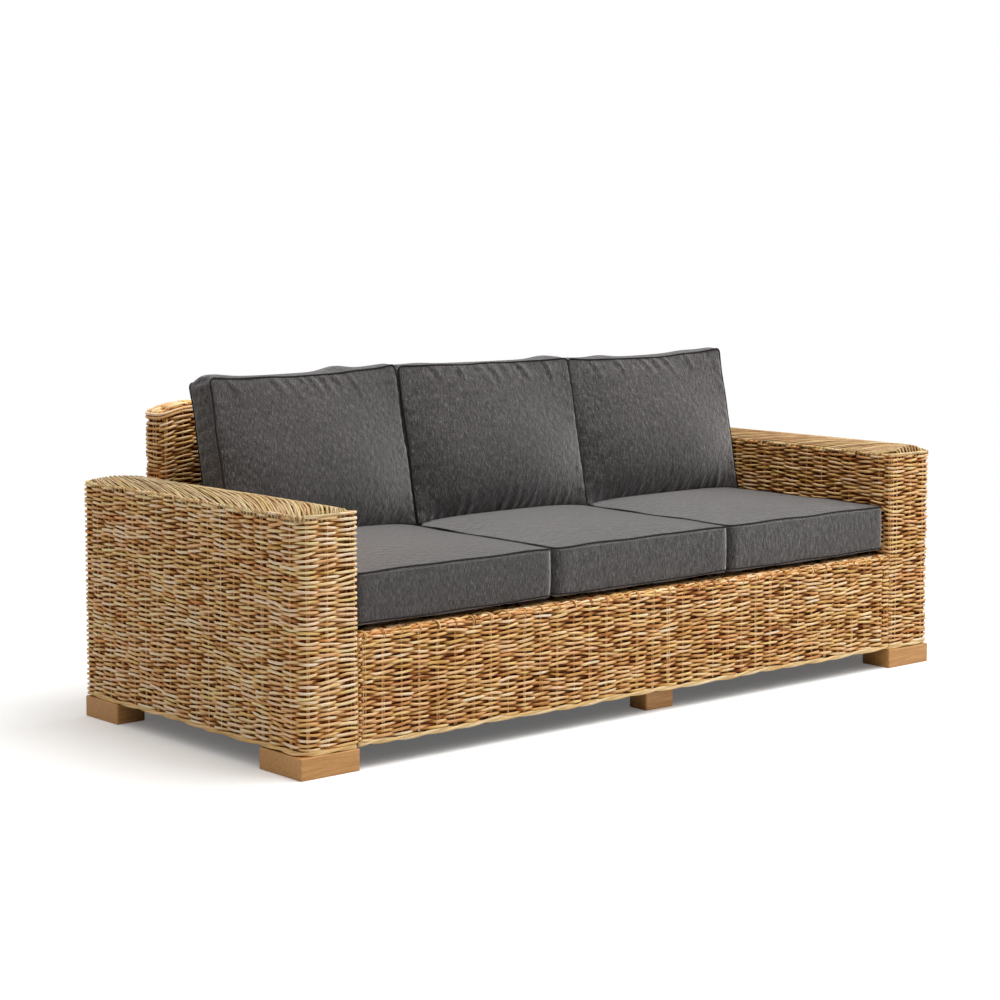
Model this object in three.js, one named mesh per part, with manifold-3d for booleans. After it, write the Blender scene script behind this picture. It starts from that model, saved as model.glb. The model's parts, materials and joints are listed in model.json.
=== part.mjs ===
import * as THREE from 'three';
import { mergeVertices } from 'three/addons/utils/BufferGeometryUtils.js';
import Module from 'manifold-3d';

const wasm = await Module();
wasm.setup();

// Three-seat garden sofa: rattan woven over a pole frame, wooden feet, loose box cushions.
// Millimetres, +X to the right seen from the front, +Y to the back, +Z up, origin on the floor.

// Overall sizes
const sofaWidth = 2200;
const sofaDepth = 934;
const armWidth = 167;
const armHeight = 606;
const footHeight = 52;
const backHeight = 792;
const backThickness = 98;
const backInset = 12;
const apronTop = 320;
const apronDepth = 76;
const apronInset = 3;

// Clearances
const touchGap = 0.3;
const softGap = 0.6;
const mergeDistance = 0.003;
const overrun = 20;

// Woven skins
const skinWall = 12;
const courseHeight = 64;
const grooveHeight = 12;
const grooveDepth = 5.5;
const topGroovePitch = 120;
const topGrooveTurn = 25;
const armCornerRadius = 8;
const armEdgeRadius = 12;
const backEndRadius = 30;
const backEdgeRadius = 14;
const backCrown = 5;
const shoulderWidth = 95;
const shoulderDrop = 20;
const apronEdgeRadius = 14;
const apronCrown = 4;
const hemHeight = 11;
const tightRadius = 2;
const armForms = {
  left: { frontRadius: 45, crown: 12 },
  right: { frontRadius: 12, crown: 17 },
};

// Frame poles, rails and slats
const poleRadius = 16;
const railWidth = 50;
const railHeight = 40;
const ledgeWidth = 30;
const ledgeHeight = 36;
const slatThickness = 16;
const slatWidth = 96;
const slatCount = 8;
const slatFrontSetback = 60;
const strutCount = 3;
const timberRounding = 3;

// Feet
const frontFootInnerDepth = 98;
const frontFootOuterDepth = 166;
const rearFootWidth = 83;
const rearFootDepth = 151;
const middleFootWidth = 97;
const middleFootDepth = 65;
const middleFootCentre = 71.5;
const middleFootInset = 38;
const footRounding = 3;

// Cushions
const cushionGap = 4;
const seatEdge = 119;
const seatFrontInset = 20;
const seatCrown = 22;
const seatCornerRadius = 22;
const seatSideDraw = 6;
const seatBulge = 3;
const seatRearFlat = 163;
const backCushionSideMargin = 20;
const backCushionHeight = 440;
const backCushionEdge = 106;
const backCushionSetback = 139;
const backCushionSink = 12;
const backCushionLean = 11.5;
const backCushionFrontCrown = 46;
const backCushionRearGap = 13;
const turnedWidthShare = 1 / 8;
const backCushionCornerRadius = 26;
const backCushionSideDraw = 9;
const backCushionBulge = 6;
const backCushionPlaces = {
  left: { shift: 11, forward: 39, turn: 4.2 },
  centre: { shift: 9, forward: 21, turn: 0 },
  right: { shift: 7, forward: 16, turn: 0 },
};

// Facets
const smallArcSteps = 4;
const largeArcSteps = 8;
const crownSteps = 10;
const poleSides = 16;
const cushionSpanSteps = 6;
const cushionSideRings = 4;
const crownPower = 2.4;
const cornerLineShare = 1 / 3;

// Derived places
const halfWidth = sofaWidth / 2;
const halfDepth = sofaDepth / 2;
const seatHalfWidth = halfWidth - armWidth;
const hemTop = footHeight + hemHeight;
const skinBottom = hemTop + touchGap;
const backRearY = halfDepth - backInset;
const backFrontY = backRearY - backThickness;
const apronFrontY = -halfDepth + apronInset;
const apronRearY = apronFrontY + apronDepth;
const deckBottom = apronTop + touchGap;
const deckTop = deckBottom + slatThickness;
const frameFloor = footHeight + touchGap;

const materials = {
  weave: { color: 0xb98a52, roughness: 0.62, metalness: 0 },
  hem: { color: 0xc9a468, roughness: 0.6, metalness: 0 },
  pole: { color: 0xa87d4c, roughness: 0.65, metalness: 0 },
  timber: { color: 0x9c7345, roughness: 0.7, metalness: 0 },
  foot: { color: 0xb47c43, roughness: 0.5, metalness: 0 },
  fabric: { color: 0x565453, roughness: 0.92, metalness: 0 },
};

const sofa = new THREE.Group();

function addPiece(name, geometry, look) {
  const mesh = new THREE.Mesh(geometry, new THREE.MeshStandardMaterial(materials[look]));
  mesh.name = name;
  sofa.add(mesh);
  return mesh;
}

// Boolean helpers: a closed geometry becomes a solid and comes back as a geometry
function toSolid(geometry) {
  const bare = geometry.index ? geometry.toNonIndexed() : geometry.clone();
  bare.deleteAttribute('normal');
  bare.deleteAttribute('uv');
  const merged = mergeVertices(bare, mergeDistance);
  return new wasm.Manifold(new wasm.Mesh({
    numProp: 3,
    vertProperties: new Float32Array(merged.attributes.position.array),
    triVerts: new Uint32Array(merged.index.array),
  }));
}

function toGeometry(solid) {
  const mesh = solid.getMesh();
  const geometry = new THREE.BufferGeometry();
  geometry.setAttribute('position', new THREE.BufferAttribute(new Float32Array(mesh.vertProperties), 3));
  geometry.setIndex(new THREE.BufferAttribute(new Uint32Array(mesh.triVerts), 1));
  geometry.computeVertexNormals();
  return geometry;
}

// A rectangle with its own radius at each corner: front left, front right, rear right, rear left
function roundedOutline(left, front, right, rear, radii, steps) {
  const centres = [
    [left + radii[0], front + radii[0], Math.PI],
    [right - radii[1], front + radii[1], -Math.PI / 2],
    [right - radii[2], rear - radii[2], 0],
    [left + radii[3], rear - radii[3], Math.PI / 2],
  ];
  const points = [];
  centres.forEach(([x, y, start], corner) => {
    for (let step = 0; step <= steps[corner]; step += 1) {
      const angle = start + (Math.PI / 2) * (step / steps[corner]);
      points.push(new THREE.Vector2(x + radii[corner] * Math.cos(angle), y + radii[corner] * Math.sin(angle)));
    }
  });
  return new THREE.Shape(points);
}

// A section with upright sides, rounded upper corners and a crowned top
function crownedOutline(left, right, bottom, top, radius, crown) {
  const points = [new THREE.Vector2(left, bottom), new THREE.Vector2(right, bottom)];
  for (let step = 0; step <= smallArcSteps; step += 1) {
    const angle = (Math.PI / 2) * (step / smallArcSteps);
    points.push(new THREE.Vector2(right - radius + radius * Math.cos(angle), top - radius + radius * Math.sin(angle)));
  }
  for (let step = 1; step < crownSteps; step += 1) {
    const across = step / crownSteps;
    const x = right - radius - (right - left - 2 * radius) * across;
    points.push(new THREE.Vector2(x, top + crown * (1 - (2 * across - 1) ** 2)));
  }
  for (let step = 0; step <= smallArcSteps; step += 1) {
    const angle = Math.PI / 2 + (Math.PI / 2) * (step / smallArcSteps);
    points.push(new THREE.Vector2(left + radius + radius * Math.cos(angle), top - radius + radius * Math.sin(angle)));
  }
  return new THREE.Shape(points);
}

function extrudeUp(shape, bottom, top) {
  const geometry = new THREE.ExtrudeGeometry(shape, { depth: top - bottom, bevelEnabled: false, curveSegments: 1 });
  geometry.translate(0, 0, bottom);
  return geometry;
}

// Shape x stays x, shape y becomes height, and the sweep runs from front to rear
function extrudeBack(shape, front, rear) {
  const geometry = new THREE.ExtrudeGeometry(shape, { depth: rear - front, bevelEnabled: false, curveSegments: 1 });
  geometry.rotateX(Math.PI / 2);
  geometry.translate(0, rear, 0);
  return geometry;
}

// Shape x becomes depth, shape y becomes height, and the sweep runs from left to right
function extrudeAcross(shape, left, right) {
  const geometry = new THREE.ExtrudeGeometry(shape, { depth: right - left, bevelEnabled: false, curveSegments: 1 });
  geometry.rotateX(Math.PI / 2);
  geometry.rotateZ(Math.PI / 2);
  geometry.translate(left, 0, 0);
  return geometry;
}

function block(left, right, front, rear, bottom, top, rounding) {
  const radii = [rounding, rounding, rounding, rounding];
  return extrudeUp(roundedOutline(left, front, right, rear, radii, [1, 1, 1, 1]), bottom, top);
}

function uprightPole(x, y, bottom, top) {
  const geometry = new THREE.CylinderGeometry(poleRadius, poleRadius, top - bottom, poleSides);
  geometry.rotateX(Math.PI / 2);
  geometry.translate(x, y, (bottom + top) / 2);
  return geometry;
}

function lengthwisePole(x, z, front, rear) {
  const geometry = new THREE.CylinderGeometry(poleRadius, poleRadius, rear - front, poleSides);
  geometry.translate(x, (front + rear) / 2, z);
  return geometry;
}

// Arms: the woven skin is the outer form less the same form drawn in by the wall, open below
function armForm(inset, bottom, form) {
  const halfArm = armWidth / 2;
  const outerRadius = Math.max(form.frontRadius - inset, tightRadius);
  const cornerRadius = Math.max(armCornerRadius - inset, tightRadius);
  const edgeRadius = Math.max(armEdgeRadius - inset, tightRadius);
  const plan = roundedOutline(
    -halfArm + inset, -halfDepth + inset, halfArm - inset, halfDepth - inset,
    [outerRadius, cornerRadius, cornerRadius, cornerRadius],
    [largeArcSteps, smallArcSteps, smallArcSteps, smallArcSteps],
  );
  const across = crownedOutline(-halfArm + inset, halfArm - inset, bottom, armHeight - inset, edgeRadius, form.crown);
  const along = crownedOutline(
    -halfDepth + inset, halfDepth - inset, bottom, armHeight + form.crown - inset, edgeRadius, 0,
  );
  const upright = toSolid(extrudeUp(plan, bottom, armHeight + form.crown + overrun));
  const crowned = toSolid(extrudeBack(across, -halfDepth - overrun, halfDepth + overrun));
  const ended = toSolid(extrudeAcross(along, -armWidth, armWidth));
  return upright.intersect(crowned).intersect(ended);
}

function armHemGeometry(form) {
  const halfArm = armWidth / 2;
  const outline = roundedOutline(
    -halfArm, -halfDepth, halfArm, halfDepth,
    [form.frontRadius, armCornerRadius, armCornerRadius, armCornerRadius],
    [largeArcSteps, smallArcSteps, smallArcSteps, smallArcSteps],
  );
  const opening = roundedOutline(
    -halfArm + skinWall, -halfDepth + skinWall, halfArm - skinWall, halfDepth - skinWall,
    [Math.max(form.frontRadius - skinWall, tightRadius), tightRadius, tightRadius, tightRadius],
    [largeArcSteps, smallArcSteps, smallArcSteps, smallArcSteps],
  );
  outline.holes.push(opening);
  return extrudeUp(outline, frameFloor, hemTop);
}

// A piece drawn for the left side is mirrored for the right side
function sided(geometry, side) {
  if (side === 'left') {
    return geometry;
  }
  return toGeometry(toSolid(geometry).mirror([1, 0, 0]));
}

// The weave lies in courses, parted by shallow grooves: flat slabs set one above the other mark them
function courseSlabs(left, right, front, rear, bottom, top) {
  const count = Math.max(1, Math.round((top - bottom) / courseHeight));
  const pitch = (top - bottom) / count;
  const slabs = [];
  for (let course = 1; course < count; course += 1) {
    const middle = bottom + course * pitch;
    slabs.push(toSolid(block(
      left, right, front, rear, middle - grooveHeight / 2, middle + grooveHeight / 2, tightRadius,
    )));
  }
  return slabs;
}

// On top of an arm the canes run aslant from the inner rear to the outer front
function armTopSlabs(low, high) {
  const count = Math.round(sofaDepth / topGroovePitch);
  const slab = toSolid(block(
    -grooveHeight / 2, grooveHeight / 2, -sofaDepth, sofaDepth, low, high, tightRadius,
  )).rotate([0, 0, -topGrooveTurn]);
  const slabs = [];
  for (let groove = 0; groove <= count; groove += 1) {
    slabs.push(slab.translate([0, (groove - count / 2) * topGroovePitch, 0]));
  }
  return slabs;
}

function armSkinGeometry(form) {
  const shoulder = armHeight - armEdgeRadius;
  const slabs = wasm.Manifold.union([
    ...courseSlabs(-armWidth, armWidth, -sofaDepth, sofaDepth, skinBottom, shoulder),
    ...armTopSlabs(shoulder, armHeight + form.crown + overrun),
  ]);
  const grooves = slabs.subtract(armForm(grooveDepth, skinBottom - overrun, form));
  const hollow = armForm(skinWall, skinBottom - overrun, form);
  return toGeometry(armForm(0, skinBottom, form).subtract(hollow).subtract(grooves));
}

const armCentre = halfWidth - armWidth / 2;
const innerReach = armWidth / 2 - skinWall - touchGap - poleRadius;
const frontPostY = -halfDepth + skinWall + touchGap + poleRadius;
const outerFrontPostY = -halfDepth + armForms.left.frontRadius;
const rearPostY = halfDepth - skinWall - touchGap - poleRadius;
const postTop = armHeight - skinWall - tightRadius - touchGap;
const railLow = frameFloor + poleRadius;
const railHigh = postTop - poleRadius;

for (const side of ['left', 'right']) {
  const place = side === 'left' ? -armCentre : armCentre;
  const postSet = {
    front_outer_post: [-innerReach, outerFrontPostY],
    front_inner_post: [innerReach, frontPostY],
    rear_outer_post: [-innerReach, rearPostY],
    rear_inner_post: [innerReach, rearPostY],
  };
  const skin = addPiece(`${side}_arm_weave`, sided(armSkinGeometry(armForms[side]), side), 'weave');
  const hem = addPiece(`${side}_arm_hem`, sided(armHemGeometry(armForms[side]), side), 'hem');
  skin.position.x = place;
  hem.position.x = place;
  for (const [post, [x, y]] of Object.entries(postSet)) {
    const pole = addPiece(`${side}_${post}`, sided(uprightPole(x, y, frameFloor, postTop), side), 'pole');
    pole.position.x = place;
  }
  for (const [lane, x, front] of [['outer', -innerReach, outerFrontPostY], ['inner', innerReach, frontPostY]]) {
    const railFront = front + poleRadius + touchGap;
    const railRear = rearPostY - poleRadius - touchGap;
    const low = lengthwisePole(x, railLow, railFront, railRear);
    const high = lengthwisePole(x, railHigh, railFront, railRear);
    addPiece(`${side}_${lane}_bottom_rail`, sided(low, side), 'pole').position.x = place;
    addPiece(`${side}_${lane}_top_rail`, sided(high, side), 'pole').position.x = place;
  }
}

// Back: an upright woven panel between the arms, with a rounded shoulder at each end
function backForm(inset, bottom) {
  const half = seatHalfWidth - touchGap - inset;
  const top = backHeight - inset;
  const endRadius = Math.max(backEndRadius - inset, tightRadius);
  const edgeRadius = Math.max(backEdgeRadius - inset, tightRadius);
  const plan = roundedOutline(
    -half, backFrontY + inset, half, backRearY - inset,
    [endRadius, endRadius, endRadius, endRadius], Array(4).fill(smallArcSteps),
  );
  const face = [new THREE.Vector2(-half, bottom), new THREE.Vector2(half, bottom)];
  for (let step = 0; step <= largeArcSteps; step += 1) {
    const angle = (Math.PI / 2) * (step / largeArcSteps);
    const x = half - shoulderWidth + shoulderWidth * Math.cos(angle);
    face.push(new THREE.Vector2(x, top - shoulderDrop + shoulderDrop * Math.sin(angle)));
  }
  for (let step = 0; step <= largeArcSteps; step += 1) {
    const angle = (Math.PI / 2) * (1 - step / largeArcSteps);
    const x = -half + shoulderWidth - shoulderWidth * Math.cos(angle);
    face.push(new THREE.Vector2(x, top - shoulderDrop + shoulderDrop * Math.sin(angle)));
  }
  const profile = crownedOutline(
    backFrontY + inset, backRearY - inset, bottom, top - backCrown, edgeRadius, backCrown,
  );
  const upright = toSolid(extrudeUp(plan, bottom, backHeight + overrun));
  const faced = toSolid(extrudeBack(new THREE.Shape(face), backFrontY - overrun, backRearY + overrun));
  const crowned = toSolid(extrudeAcross(profile, -seatHalfWidth - overrun, seatHalfWidth + overrun));
  return upright.intersect(faced).intersect(crowned);
}

const backCourses = wasm.Manifold.union(courseSlabs(
  -seatHalfWidth - overrun, seatHalfWidth + overrun, backFrontY - overrun, backRearY + overrun,
  skinBottom, backHeight - shoulderDrop - backEdgeRadius,
)).subtract(backForm(grooveDepth, skinBottom - overrun));
const backSkin = backForm(0, skinBottom).subtract(backForm(skinWall, skinBottom - overrun)).subtract(backCourses);
addPiece('back_weave', toGeometry(backSkin), 'weave');
const rearHem = block(
  -seatHalfWidth + touchGap, seatHalfWidth - touchGap, backRearY - skinWall, backRearY,
  frameFloor, hemTop, timberRounding,
);
addPiece('rear_hem', rearHem, 'hem');

const backRailFront = backFrontY + skinWall + touchGap;
const backRailRear = backRailFront + railWidth;
const backRailTop = backHeight - skinWall - shoulderDrop - touchGap;
const backRailHalf = seatHalfWidth - 2 * touchGap - skinWall - backEndRadius;
addPiece('back_top_rail', block(
  -backRailHalf, backRailHalf, backRailFront, backRailRear, backRailTop - railHeight, backRailTop, timberRounding,
), 'timber');
addPiece('rear_bottom_rail', block(
  -backRailHalf, backRailHalf, backRailFront, backRailRear, frameFloor, frameFloor + railHeight, timberRounding,
), 'timber');

// Apron: an open-backed woven channel with a rolled border along its top
const apronLength = seatHalfWidth - touchGap;
const apronSection = crownedOutline(
  apronFrontY, apronRearY, skinBottom, apronTop - apronCrown, apronEdgeRadius, apronCrown,
);
const apronHollow = block(
  -apronLength - overrun, apronLength + overrun, apronFrontY + skinWall, apronRearY + overrun,
  skinBottom - overrun, apronTop - apronCrown - skinWall, touchGap,
);
const apronCourses = wasm.Manifold.union(courseSlabs(
  -apronLength - overrun, apronLength + overrun, apronFrontY - overrun, apronFrontY + grooveDepth,
  skinBottom, apronTop - apronEdgeRadius,
));
const apronSkin = toSolid(extrudeAcross(apronSection, -apronLength, apronLength))
  .subtract(toSolid(apronHollow))
  .subtract(apronCourses);
addPiece('apron_weave', toGeometry(apronSkin), 'weave');
addPiece('apron_hem', block(
  -apronLength, apronLength, apronFrontY, apronFrontY + skinWall, frameFloor, hemTop, timberRounding,
), 'hem');

// Seat frame
const seatRailFront = apronFrontY + skinWall + touchGap;
const seatRailRear = seatRailFront + railWidth;
const seatRailTop = apronTop - skinWall - apronCrown - touchGap;
const lowRailTop = frameFloor + railHeight;
addPiece('seat_front_rail', block(
  -apronLength, apronLength, seatRailFront, seatRailRear, seatRailTop - railHeight, seatRailTop, timberRounding,
), 'timber');
addPiece('front_bottom_rail', block(
  -apronLength, apronLength, seatRailFront, seatRailRear, frameFloor, lowRailTop, timberRounding,
), 'timber');

const ledgeRear = backFrontY - touchGap;
const ledgeTop = deckBottom - touchGap;
addPiece('seat_rear_ledge', block(
  -apronLength, apronLength, ledgeRear - ledgeWidth, ledgeRear, ledgeTop - ledgeHeight, ledgeTop, timberRounding,
), 'timber');
addPiece('seat_centre_beam', block(
  -apronLength, apronLength, -railWidth / 2, railWidth / 2, ledgeTop - railHeight, ledgeTop, timberRounding,
), 'timber');

const strutNames = ['left', 'centre', 'right'];
const strutSpacing = (2 * seatHalfWidth) / strutCount;
for (let index = 0; index < strutCount; index += 1) {
  const x = (index - (strutCount - 1) / 2) * strutSpacing;
  const strutName = strutNames[index] ?? `extra_${index}`;
  const frontStrut = uprightPole(
    x, (seatRailFront + seatRailRear) / 2, lowRailTop + touchGap, seatRailTop - railHeight - touchGap,
  );
  const backStrut = uprightPole(
    x, (backRailFront + backRailRear) / 2, lowRailTop + touchGap, backRailTop - railHeight - touchGap,
  );
  addPiece(`apron_strut_${strutName}`, frontStrut, 'pole');
  addPiece(`back_strut_${strutName}`, backStrut, 'pole');
}

const slatPitch = (2 * apronLength) / slatCount;
for (let index = 0; index < slatCount; index += 1) {
  const x = -apronLength + slatPitch * (index + 0.5);
  addPiece(`seat_slat_${index + 1}`, block(
    x - slatWidth / 2, x + slatWidth / 2, -halfDepth + slatFrontSetback, ledgeRear,
    deckBottom, deckTop, timberRounding,
  ), 'timber');
}

// Feet: the front ones wrap the corner in an L, the rear ones are plain blocks
function footGeometry(outline) {
  return extrudeUp(outline, 0, footHeight);
}

const frontFootOutline = new THREE.Shape([
  new THREE.Vector2(-armWidth / 2, -halfDepth),
  new THREE.Vector2(armWidth / 2, -halfDepth),
  new THREE.Vector2(armWidth / 2, -halfDepth + frontFootInnerDepth),
  new THREE.Vector2(-armWidth / 2 + rearFootWidth, -halfDepth + frontFootInnerDepth),
  new THREE.Vector2(-armWidth / 2 + rearFootWidth, -halfDepth + frontFootOuterDepth),
  new THREE.Vector2(-armWidth / 2, -halfDepth + frontFootOuterDepth),
]);
const rearFoot = block(
  -armWidth / 2, -armWidth / 2 + rearFootWidth, halfDepth - rearFootDepth, halfDepth, 0, footHeight, footRounding,
);
for (const side of ['left', 'right']) {
  const place = side === 'left' ? -armCentre : armCentre;
  addPiece(`front_${side}_foot`, sided(footGeometry(frontFootOutline), side), 'foot').position.x = place;
  addPiece(`rear_${side}_foot`, sided(rearFoot, side), 'foot').position.x = place;
}
const middleLeft = middleFootCentre - middleFootWidth / 2;
const middleRight = middleFootCentre + middleFootWidth / 2;
const middleFront = -halfDepth + middleFootInset;
addPiece('front_middle_foot', block(
  middleLeft, middleRight, middleFront, middleFront + middleFootDepth, 0, footHeight, footRounding,
), 'foot');
addPiece('rear_middle_foot', block(
  middleLeft, middleRight, -middleFront - middleFootDepth, -middleFront, 0, footHeight, footRounding,
), 'foot');

// Cushions: two crowned faces and a boxing strip that swells between its seams.
// The plan pulls in between its corners, and the corners are rounded.
function gridLines(half, radius) {
  const lines = [-half, -half + radius * cornerLineShare, -half + radius];
  for (let step = 1; step < cushionSpanSteps; step += 1) {
    lines.push(-half + radius + ((2 * half - 2 * radius) * step) / cushionSpanSteps);
  }
  lines.push(half - radius, half - radius * cornerLineShare, half);
  return lines;
}

function cushionGeometry(size) {
  const halfX = size.width / 2 - size.bulge;
  const halfY = size.height / 2 - size.bulge;
  const xs = gridLines(halfX, size.radius);
  const ys = gridLines(halfY, size.radius);
  const columns = xs.length;
  const rows = ys.length;

  function planPoint(x, y) {
    let px = x;
    let py = y;
    const dx = Math.abs(x) - (halfX - size.radius);
    const dy = Math.abs(y) - (halfY - size.radius);
    if (dx > 0 && dy > 0) {
      const shrink = Math.max(dx, dy) / Math.hypot(dx, dy);
      px = Math.sign(x) * (halfX - size.radius + dx * shrink);
      py = Math.sign(y) * (halfY - size.radius + dy * shrink);
    }
    const drawX = size.draw * (1 - (y / halfY) ** 2);
    const drawY = size.draw * (1 - (x / halfX) ** 2);
    return [px * (1 - drawX / halfX), py * (1 - drawY / halfY)];
  }

  function crownAt(x, y, crown) {
    const low = size.crownFrom ?? -halfY;
    const high = size.crownTo ?? halfY;
    const along = Math.min(Math.max((2 * (y - low)) / (high - low) - 1, -1), 1);
    return crown * (1 - Math.abs(x / halfX) ** crownPower) * (1 - Math.abs(along) ** crownPower);
  }

  const vertices = [];
  const faces = [];
  const ringOf = [];
  for (let column = 0; column < columns - 1; column += 1) ringOf.push([column, 0]);
  for (let row = 0; row < rows - 1; row += 1) ringOf.push([columns - 1, row]);
  for (let column = columns - 1; column > 0; column -= 1) ringOf.push([column, rows - 1]);
  for (let row = rows - 1; row > 0; row -= 1) ringOf.push([0, row]);

  function addFaceGrid(crown, level) {
    const start = vertices.length / 3;
    for (let row = 0; row < rows; row += 1) {
      for (let column = 0; column < columns; column += 1) {
        const [x, y] = planPoint(xs[column], ys[row]);
        vertices.push(x, y, level + crownAt(xs[column], ys[row], crown));
      }
    }
    return start;
  }

  function gridIndex(start, [column, row]) {
    return start + row * columns + column;
  }

  const topStart = addFaceGrid(size.topCrown, size.edge / 2);
  const bottomStart = addFaceGrid(-size.bottomCrown, -size.edge / 2);
  for (let row = 0; row < rows - 1; row += 1) {
    for (let column = 0; column < columns - 1; column += 1) {
      const corners = [[column, row], [column + 1, row], [column + 1, row + 1], [column, row + 1]];
      const top = corners.map((corner) => gridIndex(topStart, corner));
      const bottom = corners.map((corner) => gridIndex(bottomStart, corner));
      faces.push(top[0], top[1], top[2], top[0], top[2], top[3]);
      faces.push(bottom[0], bottom[2], bottom[1], bottom[0], bottom[3], bottom[2]);
    }
  }

  const rings = [ringOf.map((place) => gridIndex(bottomStart, place))];
  for (let ring = 1; ring < cushionSideRings; ring += 1) {
    const height = -1 + (2 * ring) / cushionSideRings;
    const swell = size.bulge * (1 - height ** 2);
    rings.push(ringOf.map(([column, row]) => {
      const [x, y] = planPoint(xs[column], ys[row]);
      const outX = Math.max(0, Math.abs(xs[column]) - (halfX - size.radius));
      const outY = Math.max(0, Math.abs(ys[row]) - (halfY - size.radius));
      const reach = Math.hypot(outX, outY);
      vertices.push(
        x + (swell * Math.sign(x) * outX) / reach,
        y + (swell * Math.sign(y) * outY) / reach,
        (height * size.edge) / 2,
      );
      return vertices.length / 3 - 1;
    }));
  }
  rings.push(ringOf.map((place) => gridIndex(topStart, place)));
  for (let ring = 0; ring < rings.length - 1; ring += 1) {
    for (let step = 0; step < ringOf.length; step += 1) {
      const next = (step + 1) % ringOf.length;
      const [a, b] = [rings[ring][step], rings[ring][next]];
      const [c, d] = [rings[ring + 1][next], rings[ring + 1][step]];
      faces.push(a, b, c, a, c, d);
    }
  }
  const geometry = new THREE.BufferGeometry();
  geometry.setAttribute('position', new THREE.Float32BufferAttribute(vertices, 3));
  geometry.setIndex(faces);
  geometry.computeVertexNormals();
  return geometry;
}

const seatPitch = (2 * seatHalfWidth) / 3;
const seatDepth = sofaDepth / 2 + backFrontY - seatFrontInset - softGap;
const seatFrontY = -halfDepth + seatFrontInset;
const seatBottom = deckTop + softGap / 2;
const seatTopEdge = seatBottom + seatEdge;
const seatForm = cushionGeometry({
  width: seatPitch - cushionGap,
  height: seatDepth,
  edge: seatEdge,
  bulge: seatBulge,
  radius: seatCornerRadius,
  draw: seatSideDraw,
  topCrown: seatCrown,
  bottomCrown: 0,
  crownTo: seatDepth / 2 - seatRearFlat,
});
const leanAngle = THREE.MathUtils.degToRad(backCushionLean);
const backCushionHalfRise = backCushionHeight / 2 - backCushionBulge;
const backCushionSeam = seatTopEdge - backCushionSink + 2 * backCushionHalfRise * Math.cos(leanAngle);

// The rear face swells until it meets the back panel; a turned one meets it a little off its middle
function backCushionGeometry({ forward, turn }) {
  const offMiddle = seatPitch * turnedWidthShare * Math.sin(THREE.MathUtils.degToRad(turn));
  const room = backCushionSetback + forward - backCushionRearGap - Math.abs(offMiddle);
  const middle = room + backCushionHalfRise * Math.sin(leanAngle);
  return cushionGeometry({
    width: seatPitch - backCushionSideMargin,
    height: backCushionHeight,
    edge: backCushionEdge,
    bulge: backCushionBulge,
    radius: backCushionCornerRadius,
    draw: backCushionSideDraw,
    topCrown: backCushionFrontCrown,
    bottomCrown: middle / Math.cos(leanAngle) - backCushionEdge,
  });
}

// Stand the flat form up with its crown to the front, lean it back, and set its top seam in place.
// What rests on the seat cushion is pressed to the shape of its top.
function standUp(stood, seat, { shift, forward, turn }) {
  stood.rotateX(Math.PI / 2);
  stood.translate(0, backCushionEdge / 2, -backCushionHalfRise);
  stood.rotateX(-leanAngle);
  stood.rotateZ(THREE.MathUtils.degToRad(turn));
  stood.translate(seat.x + shift, backFrontY - backCushionSetback - forward, backCushionSeam);
  const resting = seatTopEdge + softGap;
  const below = block(-sofaWidth, sofaWidth, -sofaDepth, sofaDepth, -overrun, resting, timberRounding);
  const pressed = toSolid(seatForm).translate([seat.x, seat.y, seat.z + softGap]);
  return toGeometry(toSolid(stood).subtract(toSolid(below)).subtract(pressed));
}

Object.entries(backCushionPlaces).forEach(([name, spot], index) => {
  const seat = addPiece(`${name}_seat_cushion`, seatForm.clone(), 'fabric');
  seat.position.set((index - 1) * seatPitch, seatFrontY + seatDepth / 2, seatBottom + seatEdge / 2);
  const back = standUp(backCushionGeometry(spot), seat.position, spot);
  addPiece(`${name}_back_cushion`, back, 'fabric');
});

export default sofa;
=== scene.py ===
import json
import math

import bmesh
import bpy
import numpy as np
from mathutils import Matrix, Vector


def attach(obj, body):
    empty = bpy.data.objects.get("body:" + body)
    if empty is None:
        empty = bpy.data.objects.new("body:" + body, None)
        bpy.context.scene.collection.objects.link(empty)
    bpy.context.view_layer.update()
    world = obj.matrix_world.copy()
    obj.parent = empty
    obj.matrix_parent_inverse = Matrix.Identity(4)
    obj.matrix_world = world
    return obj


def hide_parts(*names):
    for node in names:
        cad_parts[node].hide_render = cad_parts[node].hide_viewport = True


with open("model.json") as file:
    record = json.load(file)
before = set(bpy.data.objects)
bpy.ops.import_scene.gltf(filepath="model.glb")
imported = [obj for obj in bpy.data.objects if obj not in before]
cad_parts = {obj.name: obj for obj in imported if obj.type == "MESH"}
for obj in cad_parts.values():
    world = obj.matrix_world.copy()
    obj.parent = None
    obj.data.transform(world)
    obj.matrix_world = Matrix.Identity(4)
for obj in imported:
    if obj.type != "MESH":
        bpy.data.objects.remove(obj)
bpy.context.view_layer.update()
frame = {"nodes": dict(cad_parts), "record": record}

scene = bpy.context.scene
scene.view_settings.view_transform = "Standard"
print("Frame loaded")

# Camera: the photograph's viewpoint, fitted to the sofa's corners
photoCamera = {
    "place": (-4.271, -4.844, 1.321),
    "turn": 40.69,      # degrees to the right of straight ahead
    "tip": 4.81,        # degrees downwards
    "lens": 87.16, "sensor": 36.0, "shift": -0.10,
}
cameraData = bpy.data.cameras.new("Camera")
cameraData.lens = photoCamera["lens"]
cameraData.sensor_width = photoCamera["sensor"]
cameraData.shift_y = photoCamera["shift"]
camera = bpy.data.objects.new("Camera", cameraData)
camera.location = photoCamera["place"]
camera.rotation_euler = (math.radians(90 - photoCamera["tip"]), 0, -math.radians(photoCamera["turn"]))
scene.collection.objects.link(camera)
scene.camera = camera
print("Camera placed")


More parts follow.
